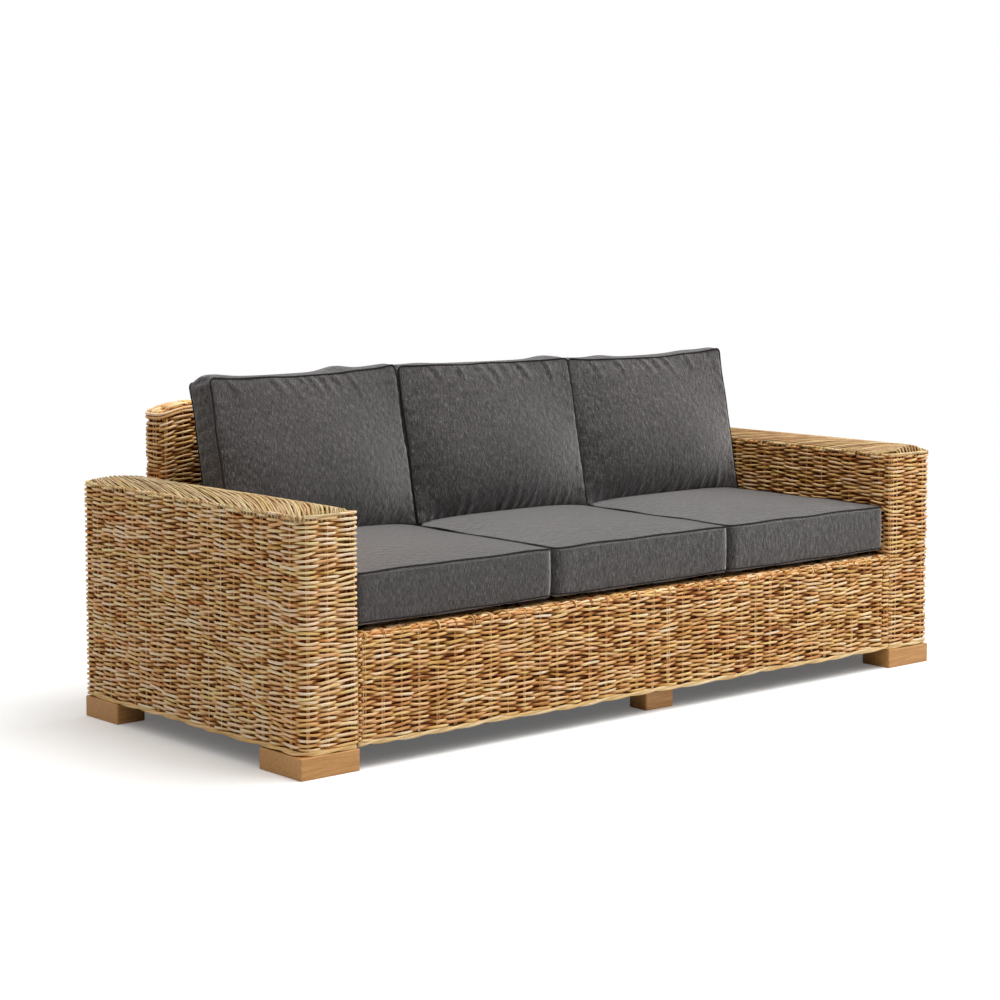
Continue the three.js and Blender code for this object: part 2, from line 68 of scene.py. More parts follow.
# Materials
def hexColour(code):
    channels = [int(code[start:start + 2], 16) / 255 for start in (1, 3, 5)]
    linear = [c / 12.92 if c <= 0.04045 else ((c + 0.055) / 1.055) ** 2.4 for c in channels]
    return (*linear, 1.0)


def setRamp(elements, stops):
    while len(elements) < len(stops):
        elements.new(0.5)
    for element, (place, code) in zip(elements, stops):
        element.position = place
        element.color = hexColour(code)


# A socket is linked to the input, and any other value is set on it
def setInput(tree, node, name, value):
    if isinstance(value, bpy.types.NodeSocket):
        tree.links.new(value, node.inputs[name])
    else:
        node.inputs[name].default_value = value


def addNode(tree, kind, settings, output=0):
    node = tree.nodes.new("ShaderNode" + kind)
    for name, value in settings.items():
        if name == "stops":
            setRamp(node.color_ramp.elements, value)
        elif isinstance(name, int) or name in node.inputs:
            setInput(tree, node, name, value)
        else:
            setattr(node, name, value)
    return node.outputs[output]


def newMaterial(name, roughness):
    material = bpy.data.materials.new(name)
    material.use_nodes = True
    material.node_tree.nodes["Principled BSDF"].inputs["Roughness"].default_value = roughness
    return material, material.node_tree


def finishMaterial(material, inputs):
    tree = material.node_tree
    for name, value in inputs.items():
        setInput(tree, tree.nodes["Principled BSDF"], name, value)
    return material


# Peeled rattan cane: a smooth hard skin with a satin shine, honey to brown, with fine fibres along it
caneLook = {
    "roughness": 0.5, "roughSwing": (0.12, -0.08), "shine": 0.28,
    "fibreWidth": 0.0007, "fibreLength": 0.05, "fibreDepth": 0.00018, "streak": (0.78, 1.1),
    "mottleLength": 0.07, "mottlesAcross": 60.0, "mottleSwing": 0.28,
}


def caneMaterial(name, toneStops, hueStops):
    look = caneLook
    material, tree = newMaterial(name, look["roughness"])
    place = addNode(tree, "Attribute", {"attribute_name": "strandPlace"}, "Vector")
    tone = addNode(tree, "Attribute", {"attribute_name": "strandTone"}, "Fac")
    hue = addNode(tree, "Attribute", {"attribute_name": "strandHue"}, "Fac")
    along = addNode(tree, "Mapping", {
        "Vector": place, "Scale": (1 / look["fibreLength"], 1 / look["fibreWidth"], 1 / look["fibreWidth"]),
    })
    fibre = addNode(tree, "TexNoise", {"Vector": along, "Scale": 1.0, "Detail": 2.0})
    spread = addNode(tree, "Mapping", {
        "Vector": place, "Scale": (1 / look["mottleLength"], look["mottlesAcross"], look["mottlesAcross"]),
    })
    mottle = addNode(tree, "TexNoise", {"Vector": spread, "Scale": 1.0, "Detail": 3.0})
    swing = addNode(tree, "MapRange", {
        "Value": mottle, "From Min": 0.25, "From Max": 0.75,
        "To Min": -look["mottleSwing"], "To Max": look["mottleSwing"],
    })
    level = addNode(tree, "Math", {"operation": "ADD", "use_clamp": True, 0: tone, 1: swing})
    tinted = addNode(tree, "Mix", {
        "data_type": "RGBA", "blend_type": "MULTIPLY", 0: 1.0,
        6: addNode(tree, "ValToRGB", {"Fac": level, "stops": toneStops}),
        7: addNode(tree, "ValToRGB", {"Fac": hue, "stops": hueStops}),
    }, 2)
    streak = addNode(tree, "MapRange", {
        "Value": fibre, "From Min": 0.3, "From Max": 0.7,
        "To Min": look["streak"][0], "To Max": look["streak"][1],
    })
    rough = addNode(tree, "MapRange", {
        "Value": mottle, "From Min": 0.2, "From Max": 0.8,
        "To Min": look["roughness"] + look["roughSwing"][0],
        "To Max": look["roughness"] + look["roughSwing"][1],
    })
    return finishMaterial(material, {
        "Base Color": addNode(tree, "VectorMath", {"operation": "SCALE", "Vector": tinted, "Scale": streak}),
        "Roughness": rough, "Specular IOR Level": look["shine"],
        "Normal": addNode(tree, "Bump", {"Strength": 0.5, "Distance": look["fibreDepth"], "Height": fibre}),
    })


hueStops = [
    (0.0, "#FFF2EA"), (0.35, "#FFFFFF"), (0.60, "#FFFAE4"), (0.78, "#F8F6D2"),
    (0.90, "#F8E6DE"), (0.97, "#FFE2C8"), (1.0, "#E8D4C8"),
]
wovenCane = caneMaterial("wovenRattanCane", [
    (0.0, "#552409"), (0.16, "#854817"), (0.34, "#B2763A"), (0.52, "#DBA869"),
    (0.72, "#F2C88F"), (0.88, "#FBDCAC"), (1.0, "#FFEACB"),
], hueStops)
# The canes over the arms are painted paler and greyer: painted sheen of the light on the arm tops
topCane = caneMaterial("armTopCanePaintedSheen", [
    (0.0, "#4A2E17"), (0.25, "#83603A"), (0.5, "#AE8B5F"), (0.75, "#C8AD80"), (1.0, "#DECAA0"),
], hueStops)
splitCane = caneMaterial("splitRattanCane", [
    (0.0, "#B88C54"), (0.3, "#D6AC70"), (0.6, "#ECC88E"), (1.0, "#FBE4B8"),
], [(0.0, "#FFFFFF"), (0.5, "#FFF8E4"), (1.0, "#FFEBD6")])


def woodMaterial(name, colours, roughness, grainAxis, grainWidth, grainLength):
    material, tree = newMaterial(name, roughness)
    scale = [1 / grainWidth] * 3
    scale[grainAxis] = 1 / grainLength
    stretched = addNode(tree, "Mapping", {"Vector": addNode(tree, "TexCoord", {}, "Object"), "Scale": scale})
    grain = addNode(tree, "TexNoise", {"Vector": stretched, "Scale": 1.0, "Detail": 4.0, "Distortion": 0.4})
    fine = addNode(tree, "TexNoise", {"Vector": stretched, "Scale": 5.0, "Detail": 2.0})
    both = addNode(tree, "Mix", {"data_type": "FLOAT", 0: 0.35, 2: grain, 3: fine})
    return finishMaterial(material, {
        "Base Color": addNode(tree, "ValToRGB", {
            "Fac": both, "stops": list(zip((0.30, 0.50, 0.72), colours)),
        }),
        "Normal": addNode(tree, "Bump", {"Strength": 0.3, "Distance": 0.0003, "Height": both}),
    })


# Oiled hardwood: planed smooth, golden, with a faint straight grain
oiledTeak = woodMaterial("oiledTeak", ("#B27C42", "#C89256", "#D8A86A"), 0.45, 0, 0.006, 0.09)
# Sawn hardwood, rougher and duller, the slats and rails under the cushions: painted dark brown, as painted
# shade for the gap under the cushions
sawnHardwood = woodMaterial("hardwoodPaintedShade", ("#33200F", "#4A301A", "#5E4026"), 0.7, 0, 0.008, 0.12)
# Rattan pole: the thick unpeeled stems of the frame, brown with a dull skin
rattanPole = woodMaterial("rattanPole", ("#7A5530", "#966C40", "#AC8353"), 0.6, 2, 0.004, 0.10)

# Painted shade: a dark matt sheet behind the weave, standing in for the shade inside, so that the gaps stay
# deep
shadeSheet, tree = newMaterial("paintedShadeSheet", 0.95)
shadeSheetSpeckle = addNode(tree, "TexNoise", {
    "Vector": addNode(tree, "TexCoord", {}, "Object"), "Scale": 180.0, "Detail": 2.0,
})
finishMaterial(shadeSheet, {
    "Base Color": addNode(tree, "ValToRGB", {"Fac": shadeSheetSpeckle, "stops": [(0.3, "#461B05"), (0.7, "#6A340E")]}),
    "Specular IOR Level": 0.1,
})
print("Materials made")


def addObject(name, mesh, material):
    piece = bpy.data.objects.new(name, mesh)
    scene.collection.objects.link(piece)
    mesh.materials.clear()
    mesh.materials.append(material)
    return piece


def closeMesh(shape, name):
    mesh = bpy.data.meshes.new(name)
    shape.to_mesh(mesh)
    shape.free()
    return mesh


def storeAttribute(mesh, name, values):
    kind, field = ("FLOAT_VECTOR", "vector") if values.ndim > 1 else ("FLOAT", "value")
    attribute = mesh.attributes.new(name, kind, "POINT")
    attribute.data.foreach_set(field, values.ravel())


def dressNode(pieces, node, body="frame"):
    for piece in pieces:
        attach(piece, body)
        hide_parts(node)


def runAlong(points):
    return np.concatenate([[0.0], np.cumsum(np.linalg.norm(np.diff(points, axis=0), axis=1))])


# Strands: each is a curve with its own thickness, swept round and kept as a mesh
ringSides = 6
ringTurns = np.arange(ringSides) * 2 * math.pi / ringSides
sweep = {
    "endShare": 0.02,           # the two ends close to a point just past the last full ring
    "weld": 0.000004,
    "patternShift": (3.7, 0.31),    # how far each strand's pattern stands from the next one's
}


def makeStrand(points, radii, tone, hue, closed=False):
    return {
        "points": np.array(points, dtype=float), "radii": radii, "closed": closed, "tone": tone, "hue": hue,
    }


def sweepStrands(name, strands, material):
    curve = bpy.data.curves.new(name + "Curve", "CURVE")
    curve.dimensions = "3D"
    curve.bevel_depth = 1.0
    curve.bevel_resolution = 1
    places, tones, hues = [], [], []
    shiftRun, shiftSide = sweep["patternShift"]
    for number, strand in enumerate(strands):
        points = strand["points"]
        radii, tone, hue = [
            np.broadcast_to(strand[key], len(points)).astype(float) for key in ("radii", "tone", "hue")
        ]
        if not strand["closed"]:
            first = points[0] + (points[0] - points[1]) * sweep["endShare"]
            last = points[-1] + (points[-1] - points[-2]) * sweep["endShare"]
            points = np.vstack([first, points, last])
            radii = np.concatenate([[0.0], radii, [0.0]])
            tone, hue = [np.concatenate([row[:1], row, row[-1:]]) for row in (tone, hue)]
        spline = curve.splines.new("POLY")
        spline.points.add(len(points) - 1)
        spline.use_cyclic_u = strand["closed"]
        spline.points.foreach_set("co", np.column_stack([points, np.ones(len(points))]).ravel())
        spline.points.foreach_set("radius", radii)
        place = np.zeros((len(points), ringSides, 3))
        place[:, :, 0] = runAlong(points)[:, None] + number * shiftRun
        place[:, :, 1] = radii[:, None] * np.cos(ringTurns)[None] + number * shiftSide
        place[:, :, 2] = radii[:, None] * np.sin(ringTurns)[None]
        places.append(place.reshape(-1, 3))
        tones.append(np.repeat(tone, ringSides))
        hues.append(np.repeat(hue, ringSides))
    holder = bpy.data.objects.new(name + "Curve", curve)
    scene.collection.objects.link(holder)
    mesh = bpy.data.meshes.new_from_object(holder.evaluated_get(bpy.context.evaluated_depsgraph_get()))
    bpy.data.objects.remove(holder)
    mesh.name = name
    for attribute, rows in (("strandPlace", places), ("strandTone", tones), ("strandHue", hues)):
        storeAttribute(mesh, attribute, np.concatenate(rows))
    if any(not strand["closed"] for strand in strands):
        shape = bmesh.new()
        shape.from_mesh(mesh)
        bmesh.ops.remove_doubles(shape, verts=shape.verts, dist=sweep["weld"])
        shape.to_mesh(mesh)
        shape.free()
    mesh.shade_smooth()
    return addObject(name, mesh, material)


# A smooth field of small waves that closes on itself round a loop; each has a size and its length along
# the run, and some have one along the rise
def waveField(generator, length, *waves):
    parts = []
    for size, runWave, *riseWave in waves:
        turns = max(1, round(length / runWave)) * generator.choice([-1, 1])
        riseTurn = 2 * math.pi / riseWave[0] if riseWave else 0.0
        parts.append((size, turns * 2 * math.pi / length, riseTurn, generator.uniform(0, 2 * math.pi)))

    def field(run, rise=0.0):
        return sum(
            size * np.sin(run * runTurn + rise * riseTurn + start) for size, runTurn, riseTurn, start in parts
        )

    return field


# The splices along one weaver: its tone and hue change where one cane ends and the next begins
def splicedTone(generator, run, length):
    cuts = [0.0]
    while cuts[-1] < length:
        cuts.append(cuts[-1] + generator.uniform(0.05, 0.30))
    values = np.clip(generator.normal(0.73, 0.10, len(cuts)), 0.15, 1.0)
    hues = generator.uniform(0, 1, len(cuts))
    index = np.clip(np.searchsorted(cuts, run, side="right") - 1, 0, len(cuts) - 1)
    return values[index], hues[index]


pathStep = 0.001


# A path in plan or in section, with the direction that faces outwards at each step
def tracePath(parts, closed=False):
    points, normals = [], []
    for part in parts:
        if part[0] == "line":
            start, end = np.array(part[1]), np.array(part[2])
            span = np.linalg.norm(end - start)
            count = max(2, int(span / pathStep))
            heading = (end - start) / span
            points.append(start + (end - start) * np.linspace(0, 1, count, endpoint=False)[:, None])
            normals.append(np.tile([-heading[1], heading[0]], (count, 1)))
        else:
            centre, radius, begin, finish = part[1:]
            count = max(4, int(abs(math.radians(finish - begin)) * radius / pathStep))
            turn = np.radians(np.linspace(begin, finish, count, endpoint=False))
            facing = np.stack([np.cos(turn), np.sin(turn)], axis=1)
            points.append(centre + facing * radius)
            normals.append(facing)
    points, normals = np.concatenate(points), np.concatenate(normals)
    if closed:
        points, normals = [np.vstack([rows, rows[:1]]) for rows in (points, normals)]
    run = runAlong(points)
    return {"run": run, "points": points, "normals": normals, "length": run[-1], "closed": closed}


def alongPath(path, run, inset):
    if path["closed"]:
        run = np.mod(run, path["length"])
    spots = [np.interp(run, path["run"], path["points"][:, axis]) for axis in (0, 1)]
    facing = [np.interp(run, path["run"], path["normals"][:, axis]) for axis in (0, 1)]
    size = np.hypot(*facing)
    return spots[0] - inset * facing[0] / size, spots[1] - inset * facing[1] / size


# Stands what is woven on a path in plan
def standOn(path, side=1, moveX=0.0):
    def place(run, rise, inset):
        x, y = alongPath(path, run, inset)
        return np.stack([side * (x + moveX), y, np.broadcast_to(rise, x.shape)], axis=1)

    return place


# A rectangle with rounded corners in plan; the run starts on the front face, beside its right-hand corner
def roundedLoop(halfX, halfY, radii, centreY=0.0):
    frontInner, frontOuter, rearOuter, rearInner = radii
    parts = [
        ("line", (halfX - frontInner, -halfY), (-halfX + frontOuter, -halfY)),
        ("arc", (-halfX + frontOuter, -halfY + frontOuter), frontOuter, -90, -180),
        ("line", (-halfX, -halfY + frontOuter), (-halfX, halfY - rearOuter)),
        ("arc", (-halfX + rearOuter, halfY - rearOuter), rearOuter, 180, 90),
        ("line", (-halfX + rearOuter, halfY), (halfX - rearInner, halfY)),
        ("arc", (halfX - rearInner, halfY - rearInner), rearInner, 90, 0),
        ("line", (halfX, halfY - rearInner), (halfX, -halfY + frontInner)),
        ("arc", (halfX - frontInner, -halfY + frontInner), frontInner, 0, -90),
    ]
    path = tracePath(parts, True)
    path["points"][:, 1] += centreY
    path["corners"] = []
    run = 0.0
    for straight, bend in zip(parts[::2], parts[1::2]):
        run += math.dist(straight[1], straight[2])
        span = bend[2] * math.radians(abs(bend[4] - bend[3]))
        path["corners"].append((run, run + span))
        run += span
    return path


def cornerSpots(path, step):
    spots = []
    for start, end in path["corners"]:
        steps = max(3, int((end - start) / step) + 1)
        spots += list(np.linspace(start, min(end, path["length"] - 0.004), steps))
    return spots


weave = {
    "bottom": 0.0645,
    "pitch": 0.00605,       # height of one row
    "radius": 0.0033,
    "middle": 0.0082,       # depth of the stakes below the woven surface
    "reach": 0.0048,        # swing of a weaver in front of and behind the stakes
    "snap": 2.2,            # how sharply a weaver turns from the front to behind
    "crossings": (0.0, 0.34, 0.5, 0.66, 1.0),
    "leastStep": 0.003,
    "slip": 0.34,           # how unevenly the crossings stand from row to row
    "flatter": 0.05,        # a weaver shows thicker in front than behind
    "stakeRadius": 0.0023,
    "stakeSpread": 0.0026,
    "stakeSet": 0.0006,
    "spacing": 0.054,
    "wideGroup": 0.004,     # a group with more than this to each side of its centre is a row of stakes
    "paintedRecessShade": 0.57,    # painted shade: a weaver is darker where it passes behind the stakes
    "patchShade": 0.08,     # darker and paler patches over several rows
    "shadeSheetInset": 0.0130,
    "shadeSheetWall": 0.0004,
}


# Stakes stand in groups along a path: fixed ones at the corners, and the others spread evenly between them
def spreadStakes(anchors, even):
    spans = [after[0] - before[0] for before, after in zip(anchors[:-1], anchors[1:])]
    counts = [max(1, round(span / weave["spacing"])) for span in spans]
    if even and sum(counts) % 2:
        counts[int(np.argmax(spans))] += 1
    groups = [anchors[0]]
    for before, after, count in zip(anchors[:-1], anchors[1:], counts):
        groups += [(spot, 0.0) for spot in np.linspace(before[0], after[0], count + 1)[1:-1]]
        groups.append(after)
    return groups


def sampleRun(groups, extra):
    spots = list(extra)
    for (centre, half), (nextCentre, nextHalf) in zip(groups[:-1], groups[1:]):
        start, end = centre + half, nextCentre - nextHalf
        spots += [start + (end - start) * share for share in weave["crossings"]]
        if half > weave["wideGroup"]:
            spots.append(centre)
    spots = sorted(spots)
    keep = spots[:1]
    for spot in spots[1:]:
        if spot - keep[-1] > weave["leastStep"]:
            keep.append(spot)
    return np.array(keep)


def makePanel(path, anchors, even, place, spots=(), riseOf=None):
    groups = spreadStakes(anchors, even)
    return {
        "path": path, "groups": groups, "place": place, "spots": spots,
        "riseOf": riseOf or (lambda run, rise: rise),
    }


def weaveRows(generator, panel, bottom, top, wobble=1.0, paler=0.0, border=0):
    path, groups = panel["path"], panel["groups"]
    length = path["length"]
    run = sampleRun(groups, panel["spots"])
    if path["closed"]:
        run = run[run < groups[-1][0] - 0.002]
    # the phase holds over a group of stakes and turns by half a wave to the next
    knots = [centre + side * half for centre, half in groups for side in (-1, 1)]
    phase = np.interp(run, knots, np.repeat(np.arange(len(groups)), 2) * math.pi)
    field = waveField(
        generator, length,
        (0.0028 * wobble, 0.55, 0.30), (0.0018 * wobble, 0.24, 0.13), (0.0010, 0.13, 0.055),
        (0.0006, 0.07, 0.04),
    )
    patches = waveField(
        generator, length, (0.30, 0.31, 0.09), (0.30, 0.17, -0.06), (0.25, 0.11, 0.045), (0.15, 0.07, -0.03),
    )
    count = int((top - bottom) / weave["pitch"])
    pitch = (top - bottom) / count
    strands = []
    for row in range(count):
        base = bottom + (row + 0.5) * pitch
        fade = min(1.0, 0.25 + min(base - bottom, top - base) / 0.035)
        jitter = waveField(generator, length, (0.0006, 0.21), (0.0005, 0.11), (0.0003, 0.06))
        rise = panel["riseOf"](run, base + fade * field(run, base) + jitter(run))
        depthJitter = waveField(generator, length, (0.0004, 0.17))
        slip = waveField(generator, length, (weave["slip"], 0.19), (weave["slip"], 0.083))
        swing = np.cos(phase + math.pi * row + slip(run))
        swing = np.tanh(weave["snap"] * swing) / math.tanh(weave["snap"])
        if row >= count - border:
            swing = np.maximum(swing, 0.4)
        inset = weave["middle"] - weave["reach"] * swing + depthJitter(run)
        swell = waveField(generator, length, (0.07, 0.16), (0.05, 0.09))
        thickness = weave["radius"] * (1 + 0.06 * np.clip(generator.normal(), -1.6, 1.6) + swell(run))
        tone, hue = splicedTone(generator, run - run[0], length)
        # paler adds painted light on the left arm, partly paler cane
        tone = tone + paler + weave["patchShade"] * patches(run, base)
        # painted shade: the weaver darkens where it passes behind the stakes
        tone = tone - weave["paintedRecessShade"] * (1 - swing) / 2
        strands.append(makeStrand(
            panel["place"](run, rise, inset), thickness * (1 + weave["flatter"] * swing),
            np.clip(tone, 0.0, 1.0),
            hue, path["closed"],
        ))
    return strands


def weaveStakes(generator, panel, bottom, top):
    strands = []
    last = len(panel["groups"]) - 1 if panel["path"]["closed"] else len(panel["groups"])
    for centre, half in panel["groups"][:last]:
        if half > weave["wideGroup"]:
            spots = np.linspace(centre - half, centre + half, 2 + int(half / 0.008))
        elif generator.random() < 0.7:
            spots = [centre - weave["stakeSpread"], centre + weave["stakeSpread"]]
        else:
            spots = [centre]
        for spot in spots:
            rise = np.linspace(bottom, top, max(4, int((top - bottom) / 0.03)))
            lean = generator.uniform(-0.0015, 0.0015)
            sway = waveField(generator, 1.0, (0.0008, 0.4), (0.0005, 0.15))
            run = spot + sway(rise) + lean * (rise - bottom) / (top - bottom)
            inset = weave["middle"] + weave["stakeSet"] * generator.uniform(-1, 1)
            points = panel["place"](run, panel["riseOf"](run, rise), inset)
            tone = np.clip(generator.normal(0.56, 0.17), 0.15, 0.95)
            radius = weave["stakeRadius"] * generator.uniform(0.85, 1.2)
            strands.append(makeStrand(points, radius, tone, generator.uniform(0, 1)))
    return strands


# Draws a line through points out into a band, and gives the band's new corners
def drawBand(shape, points, closed):
    verts = [shape.verts.new(point) for point in points]
    ends = verts[1:] + verts[:1] if closed else verts[1:]
    edges = [shape.edges.new(pair) for pair in zip(verts, ends)]
    drawn = bmesh.ops.extrude_edge_only(shape, edges=edges)
    return [item for item in drawn["geom"] if isinstance(item, bmesh.types.BMVert)]


# A thin dark sheet of painted shade behind the weave: a wall round a path, and a roof that follows the top
def shadeSheetBox(path, halfX, halfY, centreY, wallTop, roofTop, wallSteps, roofSteps):
    shape = bmesh.new()
    run = np.linspace(0, path["length"], wallSteps, endpoint=False)
    across, deep = alongPath(path, run, weave["shadeSheetInset"])
    for vert in drawBand(shape, [(x, y, weave["bottom"]) for x, y in zip(across, deep)], True):
        vert.co.z = wallTop(vert.co.x, vert.co.y)
    made = bmesh.ops.create_grid(shape, x_segments=roofSteps[0], y_segments=roofSteps[1], size=1.0)
    for vert in made["verts"]:
        vert.co.x *= halfX - weave["shadeSheetInset"]
        vert.co.y = centreY + vert.co.y * (halfY - weave["shadeSheetInset"])
        vert.co.z = roofTop(vert.co.x, vert.co.y)
    return shape


def finishShadeSheet(name, shape, moveX=0.0, side=1):
    for vert in shape.verts:
        vert.co.x = side * (vert.co.x + moveX)
    bmesh.ops.recalc_face_normals(shape, faces=shape.faces)
    bmesh.ops.solidify(shape, geom=shape.faces[:], thickness=weave["shadeSheetWall"])
    return addObject(name, closeMesh(shape, name), shadeSheet)


# Two canes laid round each other along the foot of a panel
hem = {"rise": 0.0590, "radius": 0.0040, "twist": 0.0030, "pitch": 0.19, "inset": 0.0056, "step": 0.016}


def twistedBand(generator, name, path, place):
    length = path["length"]
    run = np.linspace(0, length, int(length / hem["step"]), endpoint=not path["closed"])
    turns = length / hem["pitch"]
    if path["closed"]:
        turns = max(1, round(turns))
    sway = waveField(generator, length, (0.0012, 0.45), (0.0006, 0.19))
    uneven = waveField(generator, length, (0.5, 0.6), (0.3, 0.3))
    strands = []
    for lane in (0, 1):
        angle = 2 * math.pi * (turns * run / length + lane / 2) + uneven(run)
        height = hem["rise"] + hem["twist"] * np.cos(angle) + sway(run)
        depth = hem["inset"] - hem["twist"] * 0.6 * np.sin(angle)
        tone = np.clip(generator.normal(0.66, 0.08) + 0.12 * np.sin(run * 9 + lane * 2), 0.1, 0.97)
        strands.append(makeStrand(
            place(run, height, depth), hem["radius"], tone, generator.uniform(0, 1), path["closed"],
        ))
    return sweepStrands(name, strands, splitCane)


# Arms
arm = {
    "halfWidth": 0.0835, "halfDepth": 0.467, "top": 0.606, "edgeRadius": 0.012, "cornerRadius": 0.011,
    "centre": -1.0165,
    "rowTop": 0.6030, "rimRise": 0.6015, "rimRadius": 0.0036,
    "topSteps": 84, "topPitch": 0.0064, "topRadius": 0.0024, "topInset": 0.0085,
    "slowAngle": 19.0, "frontAngle": 33.0, "fanLength": 0.35,
    "lapHalf": 0.021,       # half the column of weavers wrapped round the inner front corner
}
# paler lightens the left arm's weave: partly paler cane, partly painted light for its outer side, which faces
# away from the right-hand lamp. topTone is painted light and shade on the arm tops: the right one is painted
# darker, as the right-hand lamp lights it strongly, and the left one paler
armSides = {
    "left": {
        "side": 1, "seed": 11, "frontRadius": 0.045, "frontCrown": 0.0125, "rearCrown": 0.005, "paler": 0.18,
        "topTone": 0.96,
    },
    "right": {
        "side": -1, "seed": 23, "frontRadius": 0.012, "frontCrown": 0.018, "rearCrown": 0.015, "paler": 0.0,
        "topTone": 0.66,
    },
}


def armTopHeight(x, y, form):
    reach = arm["halfWidth"] - arm["edgeRadius"]
    share = np.clip(np.abs(x) / reach, 0, 1)
    ahead = np.clip((arm["halfDepth"] - y) / 0.6, 0, 1)
    crown = form["rearCrown"] + (form["frontCrown"] - form["rearCrown"]) * ahead
    top = arm["top"] + crown * (1 - share ** 2)
    over = np.clip(np.abs(x) - reach, 0, arm["edgeRadius"])
    return top - arm["edgeRadius"] + np.sqrt(arm["edgeRadius"] ** 2 - over ** 2)


# The end of a cane is tucked down behind the border; every other one stands lower at the front
def tuckEnd(end, inner, lower):
    heading = (end - inner)[:2] / np.linalg.norm((end - inner)[:2])
    gapX = (arm["halfWidth"] - abs(end[0])) / max(abs(heading[0]), 0.05)
    gapY = (arm["halfDepth"] - abs(end[1])) / max(abs(heading[1]), 0.05)
    toX = gapX < gapY
    facing = np.array([math.copysign(1, end[0]), 0.0]) if toX else np.array([0.0, math.copysign(1, end[1])])
    brink = end[:2] + heading * max(min(gapX, gapY) - 0.0075, 0)
    low = 0.004 if (lower and not toX and end[1] < 0) else 0.0
    return [
        (*(brink - facing * low), arm["top"] - 0.0040 - low),
        (*(brink - facing * (0.0010 + low) + heading * 0.0010), arm["top"] - 0.0085 - low),
        (*(brink - facing * (0.0040 + low) + heading * 0.0015), arm["top"] - 0.0180),
    ]


def armTopStrands(generator, form):
    halfX, halfY = arm["halfWidth"], arm["halfDepth"]
    rows = np.linspace(halfY, -halfY, arm["topSteps"])
    share = np.clip((-halfY + arm["fanLength"] - rows) / arm["fanLength"], 0, 1)
    angle = np.radians(arm["slowAngle"] + (arm["frontAngle"] - arm["slowAngle"]) * share)
    drift = np.concatenate([[0.0], np.cumsum(np.tan(angle[1:]) * -np.diff(rows))])
    strands = []
    start = -halfX - 0.004
    number = 0
    while start < halfX + drift[-1]:
        offset = start + generator.uniform(-0.0007, 0.0007)
        bend = waveField(generator, 1.0, (0.0009, 0.4), (0.0005, 0.17))
        across = offset - drift + bend(rows)
        inside = (np.abs(across) < halfX - arm["topInset"]) & (np.abs(rows) < halfY - arm["topInset"])
        start += arm["topPitch"] * generator.uniform(0.94, 1.06)
        number += 1
        if inside.sum() < 3:
            continue
        lower = number % 2
        x, y = across[inside], rows[inside]
        ripple = 0.0009 * np.cos(math.pi * x / 0.042 + math.pi * number) - 0.0012 * lower
        nearFront = np.clip((-halfY + 0.012 - y) / 0.012, 0, 1)
        nearRear = np.clip((y - halfY + 0.012) / 0.012, 0, 1)
        sunken = np.clip((-halfY + 0.045 - y) / 0.03, 0, 1) * lower
        z = armTopHeight(x, y, form) - arm["topRadius"] + ripple
        z = z - 0.004 * (nearFront ** 2 + nearRear ** 2) - 0.0052 * sunken
        points = np.stack([x, y, z], axis=1)
        before = tuckEnd(points[0], points[1], lower)
        points = np.vstack([before[::-1], points, tuckEnd(points[-1], points[-2], lower)])
        # painted shade: every other cane, which lies lower, is painted darker; topTone is the arm top's
        # painted light
        tone = np.clip(generator.normal(form["topTone"], 0.15) - 0.20 * lower, 0.15, 1.0)
        swell = waveField(generator, 1.0, (0.05, 0.2))
        thicker = 0.0005 * np.clip((0.1 - points[:, 1]) / 0.5, 0, 1)
        radii = (arm["topRadius"] + thicker) * generator.uniform(0.93, 1.06) * (1 + swell(points[:, 1]))
        points[:, 0] = form["side"] * (points[:, 0] + arm["centre"])
        strands.append(makeStrand(points, radii, tone, generator.uniform(0, 1)))
    return strands


# Both arms are drawn as the left one, and the right one is turned over
for sideName, form in armSides.items():
    generator = np.random.default_rng(form["seed"])
    corner = arm["cornerRadius"]
    path = roundedLoop(arm["halfWidth"], arm["halfDepth"], (corner, form["frontRadius"], corner, corner))
    place = standOn(path, form["side"], arm["centre"])
    panel = makePanel(path, [
        (0.0, arm["lapHalf"]), (0.076, 0.0), (0.132, 0.0), (sum(path["corners"][1]) / 2, 0.012),
        (sum(path["corners"][2]) / 2, 0.012), (path["length"], arm["lapHalf"]),
    ], True, place, cornerSpots(path, 0.012))
    rows = weaveRows(generator, panel, weave["bottom"], arm["rowTop"], paler=form["paler"], border=1)
    stakes = weaveStakes(generator, panel, weave["bottom"] - 0.004, arm["rowTop"] - 0.004)
    top = armTopStrands(generator, form)
    # a cane binds the front edge and turns in behind the rows at its two ends
    rim = np.linspace(-0.035, 0.165, 26)
    turnedIn = np.clip((rim[0] + 0.02 - rim) / 0.02, 0, 1) + np.clip((rim - rim[-1] + 0.03) / 0.03, 0, 1)
    top.append(makeStrand(
        place(rim, arm["rimRise"] - 0.002 * turnedIn, arm["rimRadius"] + 0.0002 + 0.010 * turnedIn ** 2),
        arm["rimRadius"], 0.84, 0.4,
    ))
    armPieces = [
        sweepStrands(sideName + "ArmRows", rows, wovenCane),
        sweepStrands(sideName + "ArmStakes", stakes, wovenCane),
        sweepStrands(sideName + "ArmTop", top, topCane),
    ]
    armHem = twistedBand(generator, sideName + "ArmHem", path, place)
    # a dark sheet of painted shade inside the arm, behind its weave
    shape = shadeSheetBox(
        path, arm["halfWidth"], arm["halfDepth"], 0.0, lambda x, y: arm["top"] - 0.012,
        lambda x, y: armTopHeight(x, y, form) - 0.0105, 120, (12, 16),
    )
    armPieces.append(finishShadeSheet(sideName + "ArmShadeSheet", shape, arm["centre"], form["side"]))
    dressNode(armPieces, sideName + "_arm_weave")
    dressNode([armHem], sideName + "_arm_hem")
print("Arms woven")

